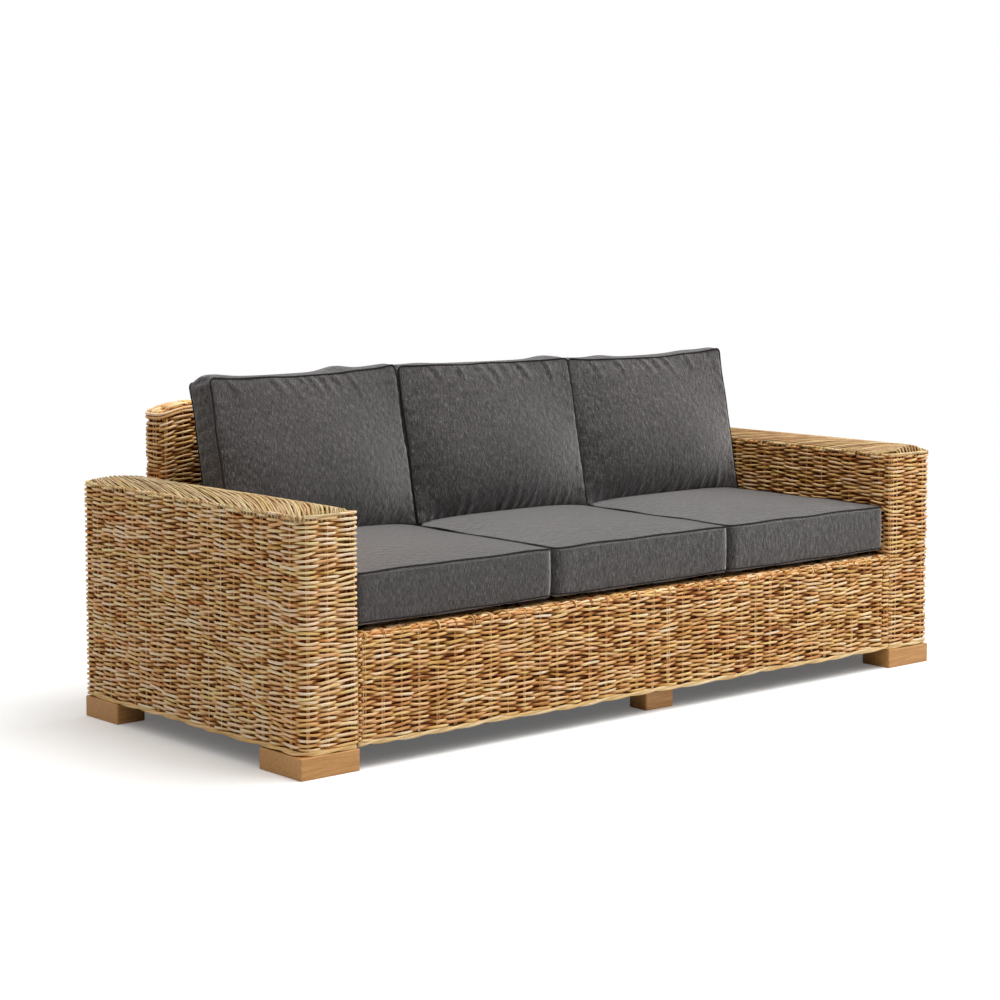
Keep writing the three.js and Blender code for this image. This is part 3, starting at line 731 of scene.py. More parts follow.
# Back panel
backPanel = {
    "halfX": 0.9327, "halfY": 0.049, "centreY": 0.406, "endRadius": 0.030, "edgeRadius": 0.014,
    "top": 0.792, "crown": 0.005, "shoulder": 0.095, "drop": 0.020,
    "rowTop": 0.7665, "borderRise": (0.7835, 0.7750), "borderRadius": 0.0038,
    "droopLow": 0.018, "droopHigh": 0.008, "droopReach": 0.20,
    "topReach": 0.037, "endFall": 0.026, "topSpots": (0.012, 0.018, 0.030, 0.036), "hemY": 0.4550,
}
halfX, corner = backPanel["halfX"], backPanel["edgeRadius"]
backPath = roundedLoop(halfX, backPanel["halfY"], [backPanel["endRadius"]] * 4, backPanel["centreY"])
backEnds = [
    (backPath["corners"][number][1] + backPath["corners"][number + 1][0]) / 2 for number in (0, 2)
]


# The rounded shoulders: how far the top edge falls near the two ends
def shoulderDrop(x):
    share = np.clip((np.abs(x) - backPanel["halfX"] + backPanel["shoulder"]) / backPanel["shoulder"], 0, 1)
    return backPanel["drop"] * share ** 1.8


def backRise(run, rise):
    x = alongPath(backPath, run, 0.0)[0]
    fallen = rise - shoulderDrop(x) * np.clip((rise - 0.55) / 0.22, 0, 1) ** 1.5
    # the weavers sink towards the ends, most of all low down
    away = np.minimum(np.abs(run - backEnds[0]), np.abs(run - backEnds[1]))
    near = 1 - np.clip((away - 0.05) / backPanel["droopReach"], 0, 1)
    high = np.clip((rise - 0.5) / 0.25, 0, 1)
    droop = backPanel["droopLow"] + (backPanel["droopHigh"] - backPanel["droopLow"]) * high
    started = np.clip((rise - 0.075) / 0.25, 0, 1) * np.clip((backPanel["rowTop"] - rise) / 0.05, 0, 1)
    return fallen - droop * near ** 2 * started


placeBack = standOn(backPath)
generator = np.random.default_rng(37)
panel = makePanel(
    backPath, [(0.0, 0.0), (backEnds[0], 0.012), (backEnds[1], 0.012), (backPath["length"], 0.0)],
    True, placeBack,
    cornerSpots(backPath, 0.014), backRise,
)
rows = weaveRows(generator, panel, weave["bottom"], backPanel["rowTop"])
third = len(rows) // 3
backPieces = [
    sweepStrands("backRowsLow", rows[:third], wovenCane),
    sweepStrands("backRowsMiddle", rows[third:2 * third], wovenCane),
    sweepStrands("backRowsHigh", rows[2 * third:], wovenCane),
]
stakes = weaveStakes(generator, panel, weave["bottom"] - 0.004, backPanel["rowTop"] + 0.006)
backPieces.append(sweepStrands("backStakes", stakes, wovenCane))

# the top is woven lengthwise and turns down over both ends
endTop = backPanel["top"] - backPanel["drop"]
topPath = tracePath([
    ("line", (-halfX, endTop - backPanel["endFall"]), (-halfX, endTop - corner)),
    ("arc", (-halfX + corner, endTop - corner), corner, 180, 90),
    ("line", (-halfX + corner, endTop), (halfX - corner, endTop)),
    ("arc", (halfX - corner, endTop - corner), corner, 90, 0),
    ("line", (halfX, endTop - corner), (halfX, endTop - backPanel["endFall"])),
])


def placeBackTop(run, rise, inset):
    away = np.minimum(run, topPath["length"] - run)
    tucked = 0.007 * np.clip((0.020 - away) / 0.012, 0, 1)
    x, z = alongPath(topPath, run, inset + tucked)
    radius = backPanel["endRadius"]
    pulled = np.clip(np.abs(rise) - (backPanel["halfY"] - radius), 0, radius)
    x = x * (1 - (radius - np.sqrt(radius ** 2 - pulled ** 2)) / backPanel["halfX"])
    lift = backPanel["drop"] - shoulderDrop(x)
    crown = backPanel["crown"] * (1 - (rise / 0.035) ** 2) * (1 - shoulderDrop(x) / backPanel["drop"])
    return np.stack([x, backPanel["centreY"] + rise, z + lift + np.maximum(crown, -0.004)], axis=1)


length, reach = topPath["length"], backPanel["topReach"]
topPanel = makePanel(
    topPath, [(0.026, 0.0), (length - 0.026, 0.0)], False, placeBackTop,
    [*backPanel["topSpots"], *(length - spot for spot in backPanel["topSpots"])],
)
topStakes = topPanel["groups"]
topPanel["groups"] = [(0.0, 0.0), *topStakes, (length, 0.0)]
capStrands = weaveRows(generator, topPanel, -reach, reach, 0.4)
for centre, half in topStakes:
    rise = np.linspace(-reach - 0.003, reach + 0.003, 8)
    for spot in (centre - weave["stakeSpread"], centre + weave["stakeSpread"]):
        points = placeBackTop(np.full(8, spot), rise, weave["middle"])
        tone = np.clip(generator.normal(0.5, 0.1), 0.2, 0.8)
        capStrands.append(makeStrand(points, weave["stakeRadius"], tone, generator.uniform(0, 1)))
for rise in backPanel["borderRise"]:
    # a cane laid along the upper edge
    length, radius = backPath["length"], backPanel["borderRadius"]
    steps = np.linspace(0, length, int(length / 0.02), endpoint=False)
    run = np.array(sorted(set(np.round(np.concatenate([steps, panel["spots"]]), 4))))
    run = run[np.concatenate([[True], np.diff(run) > 0.002])]
    sway = waveField(generator, length, (0.0009, 0.4), (0.0005, 0.15))
    tone, hue = splicedTone(generator, run, length)
    points = placeBack(run, rise + sway(run), radius + 0.0002)
    points[:, 2] -= shoulderDrop(points[:, 0])
    capStrands.append(makeStrand(points, radius, np.clip(tone + 0.06, 0, 1), hue, True))
backPieces.append(sweepStrands("backTop", capStrands, wovenCane))
# a dark sheet of painted shade inside the back, behind its weave
shape = shadeSheetBox(
    backPath, halfX, backPanel["halfY"], backPanel["centreY"],
    lambda x, y: backPanel["top"] - 0.013 - shoulderDrop(x),
    lambda x, y: backPanel["top"] - 0.0125 - shoulderDrop(x), 260, (80, 3),
)
backPieces.append(finishShadeSheet("backShadeSheet", shape))
dressNode(backPieces, "back_weave")

# the hem runs along the back between the arms' hems
rearHemPath = tracePath([("line", (halfX, backPanel["hemY"]), (-halfX, backPanel["hemY"]))])
rearHemPath["normals"] = -rearHemPath["normals"]
rearHem = twistedBand(generator, "rearHemBand", rearHemPath, standOn(rearHemPath))
dressNode([rearHem], "rear_hem")
print("Back woven")

# Apron under the seat
apron = {
    "halfX": 0.9327, "front": -0.464, "rear": -0.391, "top": 0.320, "edgeRadius": 0.014,
    "tieRadius": 0.0018, "tieLow": 0.236, "tieHigh": 0.282, "tieSpread": 0.0024,
}
halfX, front, edge = apron["halfX"], apron["front"], apron["edgeRadius"]
apronSection = tracePath([
    ("line", (front, weave["bottom"]), (front, apron["top"] - edge)),
    ("arc", (front + edge, apron["top"] - edge), edge, 180, 90),
    ("line", (front + edge, apron["top"]), (apron["rear"], apron["top"])),
])
apronPath = tracePath([("line", (halfX, front), (-halfX, front))])


def placeApron(run, rise, inset):
    run = np.asarray(run)
    y, z = alongPath(apronSection, np.broadcast_to(rise, run.shape), inset)
    return np.stack([apron["halfX"] - run, y, z], axis=1)


generator = np.random.default_rng(53)
length = apronPath["length"]
panel = makePanel(
    apronPath, [(0.0, 0.012), (0.04, 0.0), (length - 0.02, 0.0), (length, 0.0)], False, placeApron,
)
rows = weaveRows(generator, panel, 0.0, apronSection["length"])
stakes = weaveStakes(generator, panel, 0.0, apronSection["length"] - 0.002)
# each pair of ties binds the rolled edge down to a pair of stakes
ties = []
for centre, half in panel["groups"][1:-1]:
    for spot in (centre - apron["tieSpread"], centre + apron["tieSpread"]):
        reach = np.linspace(apron["tieLow"] + generator.uniform(-0.006, 0.004), apron["tieHigh"], 10)
        lean = generator.uniform(-0.002, 0.002) * np.linspace(-1, 1, 10)
        points = placeApron(spot + lean, reach, 0.0002 + 0.009 * np.abs(np.linspace(-1, 1, 10)) ** 6)
        tone = np.clip(generator.normal(0.52, 0.12), 0.2, 0.9)
        ties.append(makeStrand(points, apron["tieRadius"], tone, generator.uniform(0, 1)))
apronPieces = [
    sweepStrands("apronRows", rows, wovenCane),
    sweepStrands("apronStakes", stakes, wovenCane),
    sweepStrands("apronTies", ties, wovenCane),
]
# a dark sheet of painted shade behind the apron's weave
shape = bmesh.new()
inset = weave["shadeSheetInset"]
for vert in drawBand(shape, [
    (-halfX, front + inset, weave["bottom"]), (-halfX, front + inset, apron["top"] - inset),
    (-halfX, apron["rear"], apron["top"] - inset),
], False):
    vert.co.x = halfX
apronPieces.append(finishShadeSheet("apronShadeSheet", shape))
dressNode(apronPieces, "apron_weave")
apronHem = twistedBand(generator, "apronHemBand", apronPath, standOn(apronPath))
dressNode([apronHem], "apron_hem")
print("Apron woven")

# Woven outdoor acrylic: dark heather yarns, slubbed along the warp, matt with a pale bloom at grazing light
clothLook = {
    "roughness": 0.95, "slubWidth": 0.0022, "slubLength": 0.014, "weftLength": 0.007, "weftWidth": 0.0016,
    "slubDepth": 0.0016, "nap": 0.0042, "napScale": 62.0, "cloudScale": 34.0, "cloudSwing": 0.018,
    "weftShare": 0.28, "sheen": 0.95, "sheenRoughness": 0.42, "sheenColour": "#F3F1F1",
}


def heatherCloth(look):
    material, tree = newMaterial("charcoalHeatherCloth", look["roughness"])
    place = addNode(tree, "Attribute", {"attribute_name": "clothPlace"}, "Vector")
    alongWarp = (1 / look["slubWidth"], 1 / look["slubLength"], 1.0)
    drawn = addNode(tree, "Mapping", {"Vector": place, "Scale": alongWarp})
    slub = addNode(tree, "TexNoise", {"Vector": drawn, "Scale": 1.0, "Detail": 3.0, "Roughness": 0.6})
    alongWeft = (1 / look["weftLength"], 1 / look["weftWidth"], 1.0)
    crossed = addNode(tree, "Mapping", {"Vector": place, "Scale": alongWeft})
    weft = addNode(tree, "TexNoise", {"Vector": crossed, "Scale": 1.0, "Detail": 1.0})
    both = addNode(tree, "Mix", {"data_type": "FLOAT", 0: look["weftShare"], 2: slub, 3: weft})
    cloud = addNode(tree, "TexNoise", {"Vector": place, "Scale": look["cloudScale"], "Detail": 4.0})
    swing = addNode(tree, "MapRange", {
        "Value": cloud, "From Min": 0.3, "From Max": 0.7,
        "To Min": -look["cloudSwing"], "To Max": look["cloudSwing"],
    })
    level = addNode(tree, "Math", {"operation": "ADD", 0: both, 1: swing})
    nap = addNode(tree, "TexNoise", {"Vector": place, "Scale": look["napScale"], "Detail": 2.0})
    coarse = addNode(tree, "Bump", {"Strength": 0.7, "Distance": look["nap"], "Height": nap})
    return finishMaterial(material, {
        "Base Color": addNode(tree, "ValToRGB", {"Fac": level, "stops": [
            (0.33, "#252323"), (0.46, "#3B3838"), (0.56, "#4F4C4B"), (0.68, "#797573"),
        ]}),
        "Normal": addNode(tree, "Bump", {
            "Strength": 0.6, "Distance": look["slubDepth"], "Height": both, "Normal": coarse,
        }),
        "Sheen Weight": look["sheen"], "Sheen Roughness": look["sheenRoughness"],
        "Sheen Tint": hexColour(look["sheenColour"]), "Specular IOR Level": 0.2,
    })


charcoalCloth = heatherCloth(clothLook)

# Cord covered in the same cloth, with a twill pattern; painted darker: partly the cord's own colour, partly
# painted shade for the shadow line along each seam
charcoalPiping, tree = newMaterial("charcoalPipingCloth", 0.9)
turned = addNode(tree, "Mapping", {
    "Vector": addNode(tree, "Attribute", {"attribute_name": "strandPlace"}, "Vector"),
    "Scale": (260.0, 420.0, 420.0), "Rotation": (0, 0, 0.7),
})
twill = addNode(tree, "TexNoise", {"Vector": turned, "Scale": 1.0, "Detail": 1.0})
finishMaterial(charcoalPiping, {
    "Base Color": addNode(tree, "ValToRGB", {"Fac": twill, "stops": [(0.35, "#1A1817"), (0.65, "#302D2C")]}),
    "Normal": addNode(tree, "Bump", {"Strength": 0.4, "Distance": 0.0003, "Height": twill}),
    "Specular IOR Level": 0.2,
})

# Cushions: two crowned faces and a boxing strip between piped seams
seatPitch = 0.622
seat = {
    "width": 0.6210, "height": 0.8034, "edge": 0.119, "bulge": 0.003, "sideBulge": 0.0008, "radius": 0.023,
    "draw": 0.003, "topCrown": 0.017, "crownTo": 0.2387, "belly": 0.0, "crownPower": 3.2,
    "sidePower": (3.2, 3.2), "cuts": (62, 80, 16), "centreY": -0.0453, "bottom": 0.3366, "seed": 71,
    "pressure": 2.5, "ease": 0.030, "easeReach": 0.045, "faceRise": 0.003, "rearRise": 0.0, "sideRise": 0.001,
    "upperBulge": 0.0, "pipingSet": 0.0020, "lowSeam": -1 + 2 / 17, "roll": 0.0012, "narrowFrom": 0.134,
    "droop": 0.007, "droopFrom": 0.034,     # the lower front edge hangs in front of the slats
}
backCushion = {
    "width": 0.6175, "height": 0.440, "edge": 0.082, "bulge": 0.003, "sideBulge": 0.003, "radius": 0.014,
    "draw": 0.0, "topCrown": 0.061, "crownTo": 0.217, "belly": 0.46, "crownPower": 2.6,
    "sidePower": (3.8, 2.1),        # the faces round off sooner at their right than at their left edge
    "cuts": (84, 62, 11),
    "lean": 11.5, "setback": 0.139, "rearGap": 0.013, "panelFront": 0.357, "seamRise": 0.863, "seed": 91,
    "pressure": 4.0, "ease": 0.070, "easeReach": 0.060,
    "faceRise": 0.010, "rearRise": 0.003, "sideRise": 0.003,
    "tuck": 0.070,          # the lower front seam is drawn in under the belly, but not at its corners
    "upperBulge": 0.006, "pipingSet": 0.0008, "lowSeam": -1.0, "roll": 0.0,
    "foldHeight": 0.0060, "foldWidth": 0.0085, "foldSlant": 0.45, "gatherPitch": 0.032,
    "gatherHeight": 0.0080, "endGatherHeight": 0.0065, "creasePitch": 0.031, "creaseDepth": 0.0060,
}
# folds and puffs stand where the photograph has them, from -1 at a cushion's left edge to 1 at its right one
cushionSides = {
    "left": {
        "x": -seatPitch, "turn": 4.2, "shift": 0.0127, "forward": 0.039, "dip": 0.012, "dipAt": 0.2,
        "lift": (0.009, 0.014), "free": -1, "wider": 0.005, "narrower": 0.0,
        "folds": (-0.82, -0.36, -0.23, -0.08, 0.03, 0.16, 0.29, 0.44),
        "puffs": ((-0.88, 0.006), (0.42, 0.011)),
    },
    "centre": {
        "x": 0.0, "turn": 0.0, "shift": 0.011, "forward": 0.021, "dip": 0.003, "dipAt": 0.0,
        "lift": (0.009, 0.003), "free": 0, "wider": -0.0012, "narrower": 0.024,
        "folds": (-0.62, -0.35, -0.12, 0.04, 0.19, 0.37, 0.70), "puffs": ((-0.7, 0.003), (0.78, 0.008)),
    },
    "right": {
        "x": seatPitch, "turn": 0.0, "shift": 0.0028, "forward": 0.016, "dip": 0.013, "dipAt": 0.1,
        "lift": (0.001, 0.007), "free": 1, "wider": -0.0005, "narrower": 0.014,
        "folds": (-0.70, -0.40, -0.08, 0.07, 0.21, 0.52), "puffs": ((-0.5, 0.006), (0.6, 0.003)),
    },
}
pipingRadius = 0.0025
full = 0.999        # a share of the way out past which a point of the unit cube lies on its outer face


def cushionCrown(x, y, size, crown):
    halfX = size["width"] / 2 - size["sideBulge"]
    low = -(size["height"] / 2 - size["bulge"])
    along = np.clip(2 * (y - low) / (size["crownTo"] - low) - 1, -1, 1)
    along = along + size["belly"] * (1 - along ** 2)
    leftPower, rightPower = size["sidePower"]
    across = np.clip(np.abs(x / halfX), 0, 1) ** np.where(x < 0, leftPower, rightPower)
    return crown * (1 - across) * (1 - np.abs(along) ** size["crownPower"])


def cushionForm(cube, size, rearCrown, free=0):
    halves = np.array([size["width"] / 2 - size["sideBulge"], size["height"] / 2 - size["bulge"]])
    flat, level = cube[:, :2] * halves, cube[:, 2]
    out = np.clip(np.abs(flat) - (halves - size["radius"]), 0, None)
    reach = np.hypot(out[:, 0], out[:, 1])
    reach = np.where(reach > 0, reach, 1)[:, None]
    inCorner = (out > 0).all(axis=1)[:, None]
    shrink = np.where(inCorner, out.max(axis=1)[:, None] / reach, 1.0)
    plan = np.sign(flat) * np.where(inCorner, halves - size["radius"] + out * shrink, np.abs(flat))
    plan = plan * (1 - size["draw"] * (1 - (flat[:, ::-1] / halves[::-1]) ** 2) / halves)
    under = np.clip((size["lowSeam"] - level) / (1.0001 + size["lowSeam"]), 0, 1)
    plan = plan * (1 - size["roll"] * under[:, None] / halves)
    rounded = np.where(np.abs(level) < full, 1 - level ** 2, 0.0)
    swell = size["bulge"] * rounded[:, None] / reach * np.ones(2)
    swell[:, 0] *= size["sideBulge"] / size["bulge"] * np.where(np.sign(flat[:, 0]) == free, 1.0, 0.2)
    plan = plan + swell * np.sign(flat) * out
    upper = np.where(cube[:, 1] > full, size["upperBulge"] * rounded, 0.0)
    plan[:, 1] += upper * np.clip((1 - np.abs(cube[:, 0])) / 0.04, 0, 1) ** 0.5
    x, y = flat.T
    z = level * size["edge"] / 2
    z = z + np.where(level > full, cushionCrown(x, y, size, size["topCrown"]), 0.0)
    z = z - np.where(level < -full, cushionCrown(x, y, {**size, "belly": 0.0}, rearCrown), 0.0)
    return np.column_stack([plan, z])


# The upper seams of a back cushion sag between its corners, and the lower front one is drawn in
def sagSeams(cube, points, size, spot):
    across, up, out = cube.T
    share = across - spot["dipAt"]
    share = share / np.where(share > 0, 1 - spot["dipAt"], 1 + spot["dipAt"])
    high = np.clip((up + 1) / 2, 0, 1)
    leftLift, rightLift = spot["lift"]
    sagged = points.copy()
    sagged[:, 0] += across * spot["wider"]
    sagged[:, 1] -= spot["dip"] * (1 - share ** 2) * high ** 5 * (0.7 + 0.3 * out)
    sagged[:, 1] += high * (leftLift + (rightLift - leftLift) * (across + 1) / 2)
    low = np.clip((1 - up) / 2, 0, 1) ** 7 * (1 - across ** 4)
    sagged[:, 2] -= size["tuck"] * low * np.clip((out + 1) / 2, 0, 1)
    return sagged


# Short folds that rise from an edge of the cover and fade out over the face
def gatherEdge(generator, across, inward, reach, pitch, height, longest):
    raised = np.zeros(len(across))
    place = -reach
    while place < reach:
        length = generator.uniform(0.4, 1.0) * longest
        width = generator.uniform(0.006, 0.010)
        aside = across - place - generator.uniform(-0.15, 0.15) * inward
        along = np.clip(inward / 0.012, 0, 1) * np.clip(1 - inward / length, 0, 1)
        raised += height * generator.uniform(0.3, 1.2) * along * np.exp(-(aside / width) ** 2)
        place += pitch * generator.uniform(0.7, 1.4)
    return raised


# The filling pulls the cloth into slanting folds below the upper seam, and into gathers along the other three
def foldCover(cube, points, size, spot, generator):
    across, up, out = cube.T
    halfX, halfY = size["width"] / 2, size["height"] / 2
    x, y = across * halfX, up * halfY
    fromTop = halfY - y
    raised = np.zeros(len(cube))
    for share in spot["folds"]:
        length = generator.uniform(0.055, 0.095)
        width = size["foldWidth"] * generator.uniform(0.8, 1.25)
        aside = x - share * halfX - size["foldSlant"] * generator.uniform(0.7, 1.3) * fromTop
        along = np.clip(fromTop / 0.014, 0, 1) * np.clip(1 - fromTop / length, 0, 1)
        ridge = np.exp(-(aside / width) ** 2) - 0.6 * np.exp(-((aside + 1.7 * width) / width) ** 2)
        raised += size["foldHeight"] * generator.uniform(0.7, 1.3) * along * ridge
    pitch = size["gatherPitch"]
    raised += gatherEdge(generator, x, halfY + y, halfX - 0.02, pitch, size["gatherHeight"], 0.11)
    for side in (-1, 1):
        raised += gatherEdge(
            generator, y, halfX - side * x, halfY - 0.03, pitch, size["endGatherHeight"], 0.05,
        )
    held = np.clip((halfX - np.abs(x)) / 0.01, 0, 1) * np.clip((halfY - np.abs(y)) / 0.01, 0, 1)
    folded = points.copy()
    folded[:, 2] += np.where(out > full, held * raised, 0.0)
    wander = waveField(generator, 1.0, (0.9, 0.23), (0.6, 0.11))
    crease = np.cos(fromTop * 2 * math.pi / size["creasePitch"] + 0.5 * out + wander(fromTop))
    crease = np.clip(crease, 0.2, 1) ** 2 * (1 - out ** 2)
    onEnd = (np.abs(across) > full) & (np.abs(out) < full)
    folded[:, 0] -= np.where(onEnd, np.sign(across) * size["creaseDepth"] * crease, 0.0)
    upper = np.clip((up - 0.9) / 0.1, 0, 1) * (1 - out ** 2)
    for share, height in spot["puffs"]:
        folded[:, 1] += height * upper * np.exp(-((across - share) / 0.16) ** 2)
    return folded


def cushionBlank(name, size):
    shape = bmesh.new()
    bmesh.ops.create_cube(shape, size=2.0)
    for axis, cuts in enumerate(size["cuts"]):
        edges = [edge for edge in shape.edges if abs((edge.verts[0].co - edge.verts[1].co)[axis]) > 1.5]
        bmesh.ops.subdivide_edges(shape, edges=edges, cuts=cuts, use_grid_fill=True)
    mesh = closeMesh(shape, name)
    cube = np.zeros(len(mesh.vertices) * 3)
    mesh.vertices.foreach_get("co", cube)
    return mesh, cube.reshape(-1, 3)


# Where each point of the cloth was cut: across and along the yarns
def clothPlaces(cube, size, number):
    halfX, halfY = size["width"] / 2, size["height"] / 2
    face = np.abs(cube[:, 2]) > full
    onSide = np.abs(cube[:, 0]) > full
    wrapped = np.sign(cube[:, 0]) * (halfX + (cube[:, 1] + 1) * halfY)
    across = np.where(onSide & ~face, wrapped, cube[:, 0] * halfX)
    along = np.where(face, cube[:, 1] * halfY, cube[:, 2] * size["edge"] / 2 + 0.7)
    return np.stack([across + number * 1.3, along, np.full(len(cube), number * 2.7)], axis=1)


def seamOrder(cube, level):
    ring = np.where((np.abs(cube[:, 2] - level) < 0.001) & (np.max(np.abs(cube[:, :2]), axis=1) > full))[0]
    x, y = cube[ring, 0], cube[ring, 1]
    turn = np.where(y <= -full, x + 1, np.where(x >= full, y + 3, np.where(y >= full, 5 - x, 7 - y)))
    return ring[np.argsort(turn)]


# The cover is cut a little full along its seams, so that it puckers there when the filling swells it
def cutCover(name, size, number, free, shape):
    mesh, cube = cushionBlank(name, size)
    points = shape(cube, False)
    folds = shape(cube, True) - points
    rings = [seamOrder(cube, level) for level in (size["lowSeam"], 1.0)]
    generator = np.random.default_rng(size["seed"] + number)
    for ring in rings:
        turn = np.linspace(0, 1, len(ring), endpoint=False)
        for axis in (0, 1, 2):
            points[ring, axis] += waveField(generator, 1.0, (0.0007, 0.11), (0.0006, 0.07))(turn)
    mesh.vertices.foreach_set("co", points.ravel())
    storeAttribute(mesh, "clothPlace", clothPlaces(cube, size, number))
    mesh.update()
    mesh.shade_smooth()
    return {
        "piece": addObject(name, mesh, charcoalCloth), "cube": cube, "points": points, "rings": rings,
        "size": size, "folds": folds, "free": free, "generator": generator,
    }


def stuffCover(cover):
    piece, cube, size = cover["piece"], cover["cube"], cover["size"]
    seams = piece.vertex_groups.new(name="seams")
    for ring in cover["rings"]:
        seams.add([int(index) for index in ring], 1.0, "REPLACE")
    ease = piece.vertex_groups.new(name="ease")
    halves = np.array([size["width"] / 2, size["height"] / 2])
    fromEdge = ((1 - np.abs(cube[:, :2])) * halves).min(axis=1)
    weight = np.where(np.abs(cube[:, 2]) > full, np.clip(1 - fromEdge / size["easeReach"], 0, 1), 0.6)
    weight *= cover["generator"].uniform(0.6, 1.0, len(weight))
    for index in np.where(weight > 0.01)[0]:
        ease.add([int(index)], float(weight[index]), "REPLACE")
    cloth = piece.modifiers.new("Cover", "CLOTH")
    cloth.settings.quality = 5
    cloth.settings.use_pressure = True
    cloth.settings.uniform_pressure_force = size["pressure"]
    cloth.settings.vertex_group_mass = "seams"
    cloth.settings.vertex_group_shrink = "ease"
    cloth.settings.shrink_min = 0.0
    cloth.settings.shrink_max = -size["ease"]
    cloth.settings.bending_stiffness = 0.2
    cloth.settings.effector_weights.gravity = 0
    cloth.collision_settings.use_collision = False
    cloth.point_cache.frame_start = 1
    cloth.point_cache.frame_end = 20


# How far the filling may move the cloth: sideways, inwards, and out past the room that it has
swelling = {"aside": 0.006, "inwards": 0.010, "give": 0.25, "past": 1.35}


# Take the swollen form, but no further out than the cushion's own room
def finishCover(cover):
    piece, cube, size, points = [cover[key] for key in ("piece", "cube", "size", "points")]
    normals = np.zeros(points.size)
    piece.data.vertex_normals.foreach_get("vector", normals)
    normals = normals.reshape(-1, 3)
    swollen = np.zeros(points.size)
    evaluated = piece.evaluated_get(bpy.context.evaluated_depsgraph_get())
    evaluated.data.vertices.foreach_get("co", swollen)
    moved = swollen.reshape(-1, 3) - points
    out = (moved * normals).sum(axis=1)
    aside = moved - out[:, None] * normals
    asideSize = np.linalg.norm(aside, axis=1)
    aside *= (np.minimum(asideSize, swelling["aside"]) / np.maximum(asideSize, 1e-9))[:, None]
    most = np.where(cube[:, 2] > full, size["faceRise"], size["sideRise"])
    most = np.where(cube[:, 2] < -full, size["rearRise"], most)
    pressed = (np.abs(cube[:, 0]) > full) & (np.sign(cube[:, 0]) != cover["free"])
    most = np.where(pressed, 0.0, most)
    if size is seat:
        # flat where the back cushion stands on it
        ahead = np.clip((size["crownTo"] / (size["height"] / 2) - cube[:, 1]) / 0.3, 0, 1)
        most = np.where(cube[:, 2] > full, most * ahead, most)
    # soften the limit, so that puckers stay where it holds
    out = np.where(out > most, most + swelling["give"] * (out - np.maximum(most, 0)) * (most > 0), out)
    out = np.clip(out, -swelling["inwards"], most * swelling["past"])
    print(piece.name, "swelled by", round(float(np.abs(moved).max()) * 1000, 1), "mm")
    piece.modifiers.clear()
    piece.vertex_groups.clear()
    cover["points"] = points + aside + out[:, None] * normals


def sewCushion(cover, node, settle):
    piece = cover["piece"]
    points = settle(cover["points"] + cover["folds"])
    piece.data.vertices.foreach_set("co", points.ravel())
    piece.data.update()
    finer = piece.modifiers.new("Finer", "SUBSURF")
    finer.levels = 1
    finer.render_levels = 1
    strands = []
    for ring in cover["rings"]:
        inward = points.mean(axis=0) - points[ring]
        inward /= np.linalg.norm(inward, axis=1)[:, None]
        seam = points[ring] + inward * cover["size"]["pipingSet"]
        strands.append(makeStrand(seam, pipingRadius, 0.5, 0.5, True))
    piping = sweepStrands(piece.name + "Piping", strands, charcoalPiping)
    dressNode((piece, piping), node, node)


def turnAbout(points, axis, degrees):
    angle = math.radians(degrees)
    first, second = [number for number in range(3) if number != axis]
    turned = points.copy()
    turned[:, first] = points[:, first] * math.cos(angle) - points[:, second] * math.sin(angle)
    turned[:, second] = points[:, first] * math.sin(angle) + points[:, second] * math.cos(angle)
    return turned


def seatCover(number, sideName, spot):
    def shape(cube, folded):
        points = cushionForm(cube, seat, 0.0)
        # narrower behind on its left, so that it lifts past the neighbouring back cushion
        behind = np.clip((points[:, 1] - seat["narrowFrom"]) / 0.02, 0, 1) * np.clip(-cube[:, 0], 0, 1)
        points[:, 0] += spot["narrower"] * behind
        fromFront = (1 + cube[:, 1]) * seat["height"] / 2
        drooped = np.clip((seat["droopFrom"] - fromFront) / 0.02, 0, 1) * (1 - cube[:, 2]) / 2
        points[:, 2] -= seat["droop"] * drooped * (1 - 0.4 * cube[:, 0] ** 2)
        return points + np.array([spot["x"], seat["centreY"], seat["bottom"] + seat["edge"] / 2])

    return cutCover(sideName + "SeatCushion", seat, number, 0, shape)


def backCover(number, sideName, spot):
    size = backCushion
    lean = math.radians(size["lean"])
    rise = size["height"] / 2 - size["bulge"]
    offMiddle = seatPitch / 8 * math.sin(math.radians(spot["turn"]))
    room = size["setback"] + spot["forward"] - size["rearGap"] - abs(offMiddle)
    rearCrown = (room + rise * math.sin(lean)) / math.cos(lean) - size["edge"]

    def shape(cube, folded):
        points = sagSeams(cube, cushionForm(cube, size, rearCrown, spot["free"]), size, spot)
        if folded:
            points = foldCover(cube, points, size, spot, np.random.default_rng(size["seed"] * 7 + number))
        stood = turnAbout(points, 0, 90) + np.array([0, size["edge"] / 2, -rise])
        stood = turnAbout(turnAbout(stood, 0, -size["lean"]), 2, spot["turn"])
        return stood + np.array([
            spot["x"] + spot["shift"], size["panelFront"] - size["setback"] - spot["forward"],
            size["seamRise"],
        ])

    return cutCover(sideName + "BackCushion", size, number, spot["free"], shape)


def restOnSeat(points, spot):
    rested = points.copy()
    x, y = points[:, 0] - spot["x"], points[:, 1] - seat["centreY"]
    x = np.clip(x, -seat["width"] / 2 + seat["sideBulge"], seat["width"] / 2 - seat["sideBulge"])
    surface = seat["bottom"] + seat["edge"] + cushionCrown(x, y, seat, seat["topCrown"]) + 0.0008
    rested[:, 2] = np.maximum(points[:, 2], surface)
    return rested


covers = []
for number, (sideName, spot) in enumerate(cushionSides.items()):
    covers.append((seatCover(number, sideName, spot), sideName + "_seat_cushion", lambda points: points))
    covers.append((
        backCover(number + 3, sideName, spot), sideName + "_back_cushion",
        lambda points, spot=spot: restOnSeat(points, spot),
    ))
for cover, node, settle in covers:
    stuffCover(cover)
for step in range(1, 21):
    scene.frame_set(step)
for cover, node, settle in covers:
    finishCover(cover)
scene.frame_set(1)
for cover, node, settle in covers:
    sewCushion(cover, node, settle)
print("Cushions sewn")

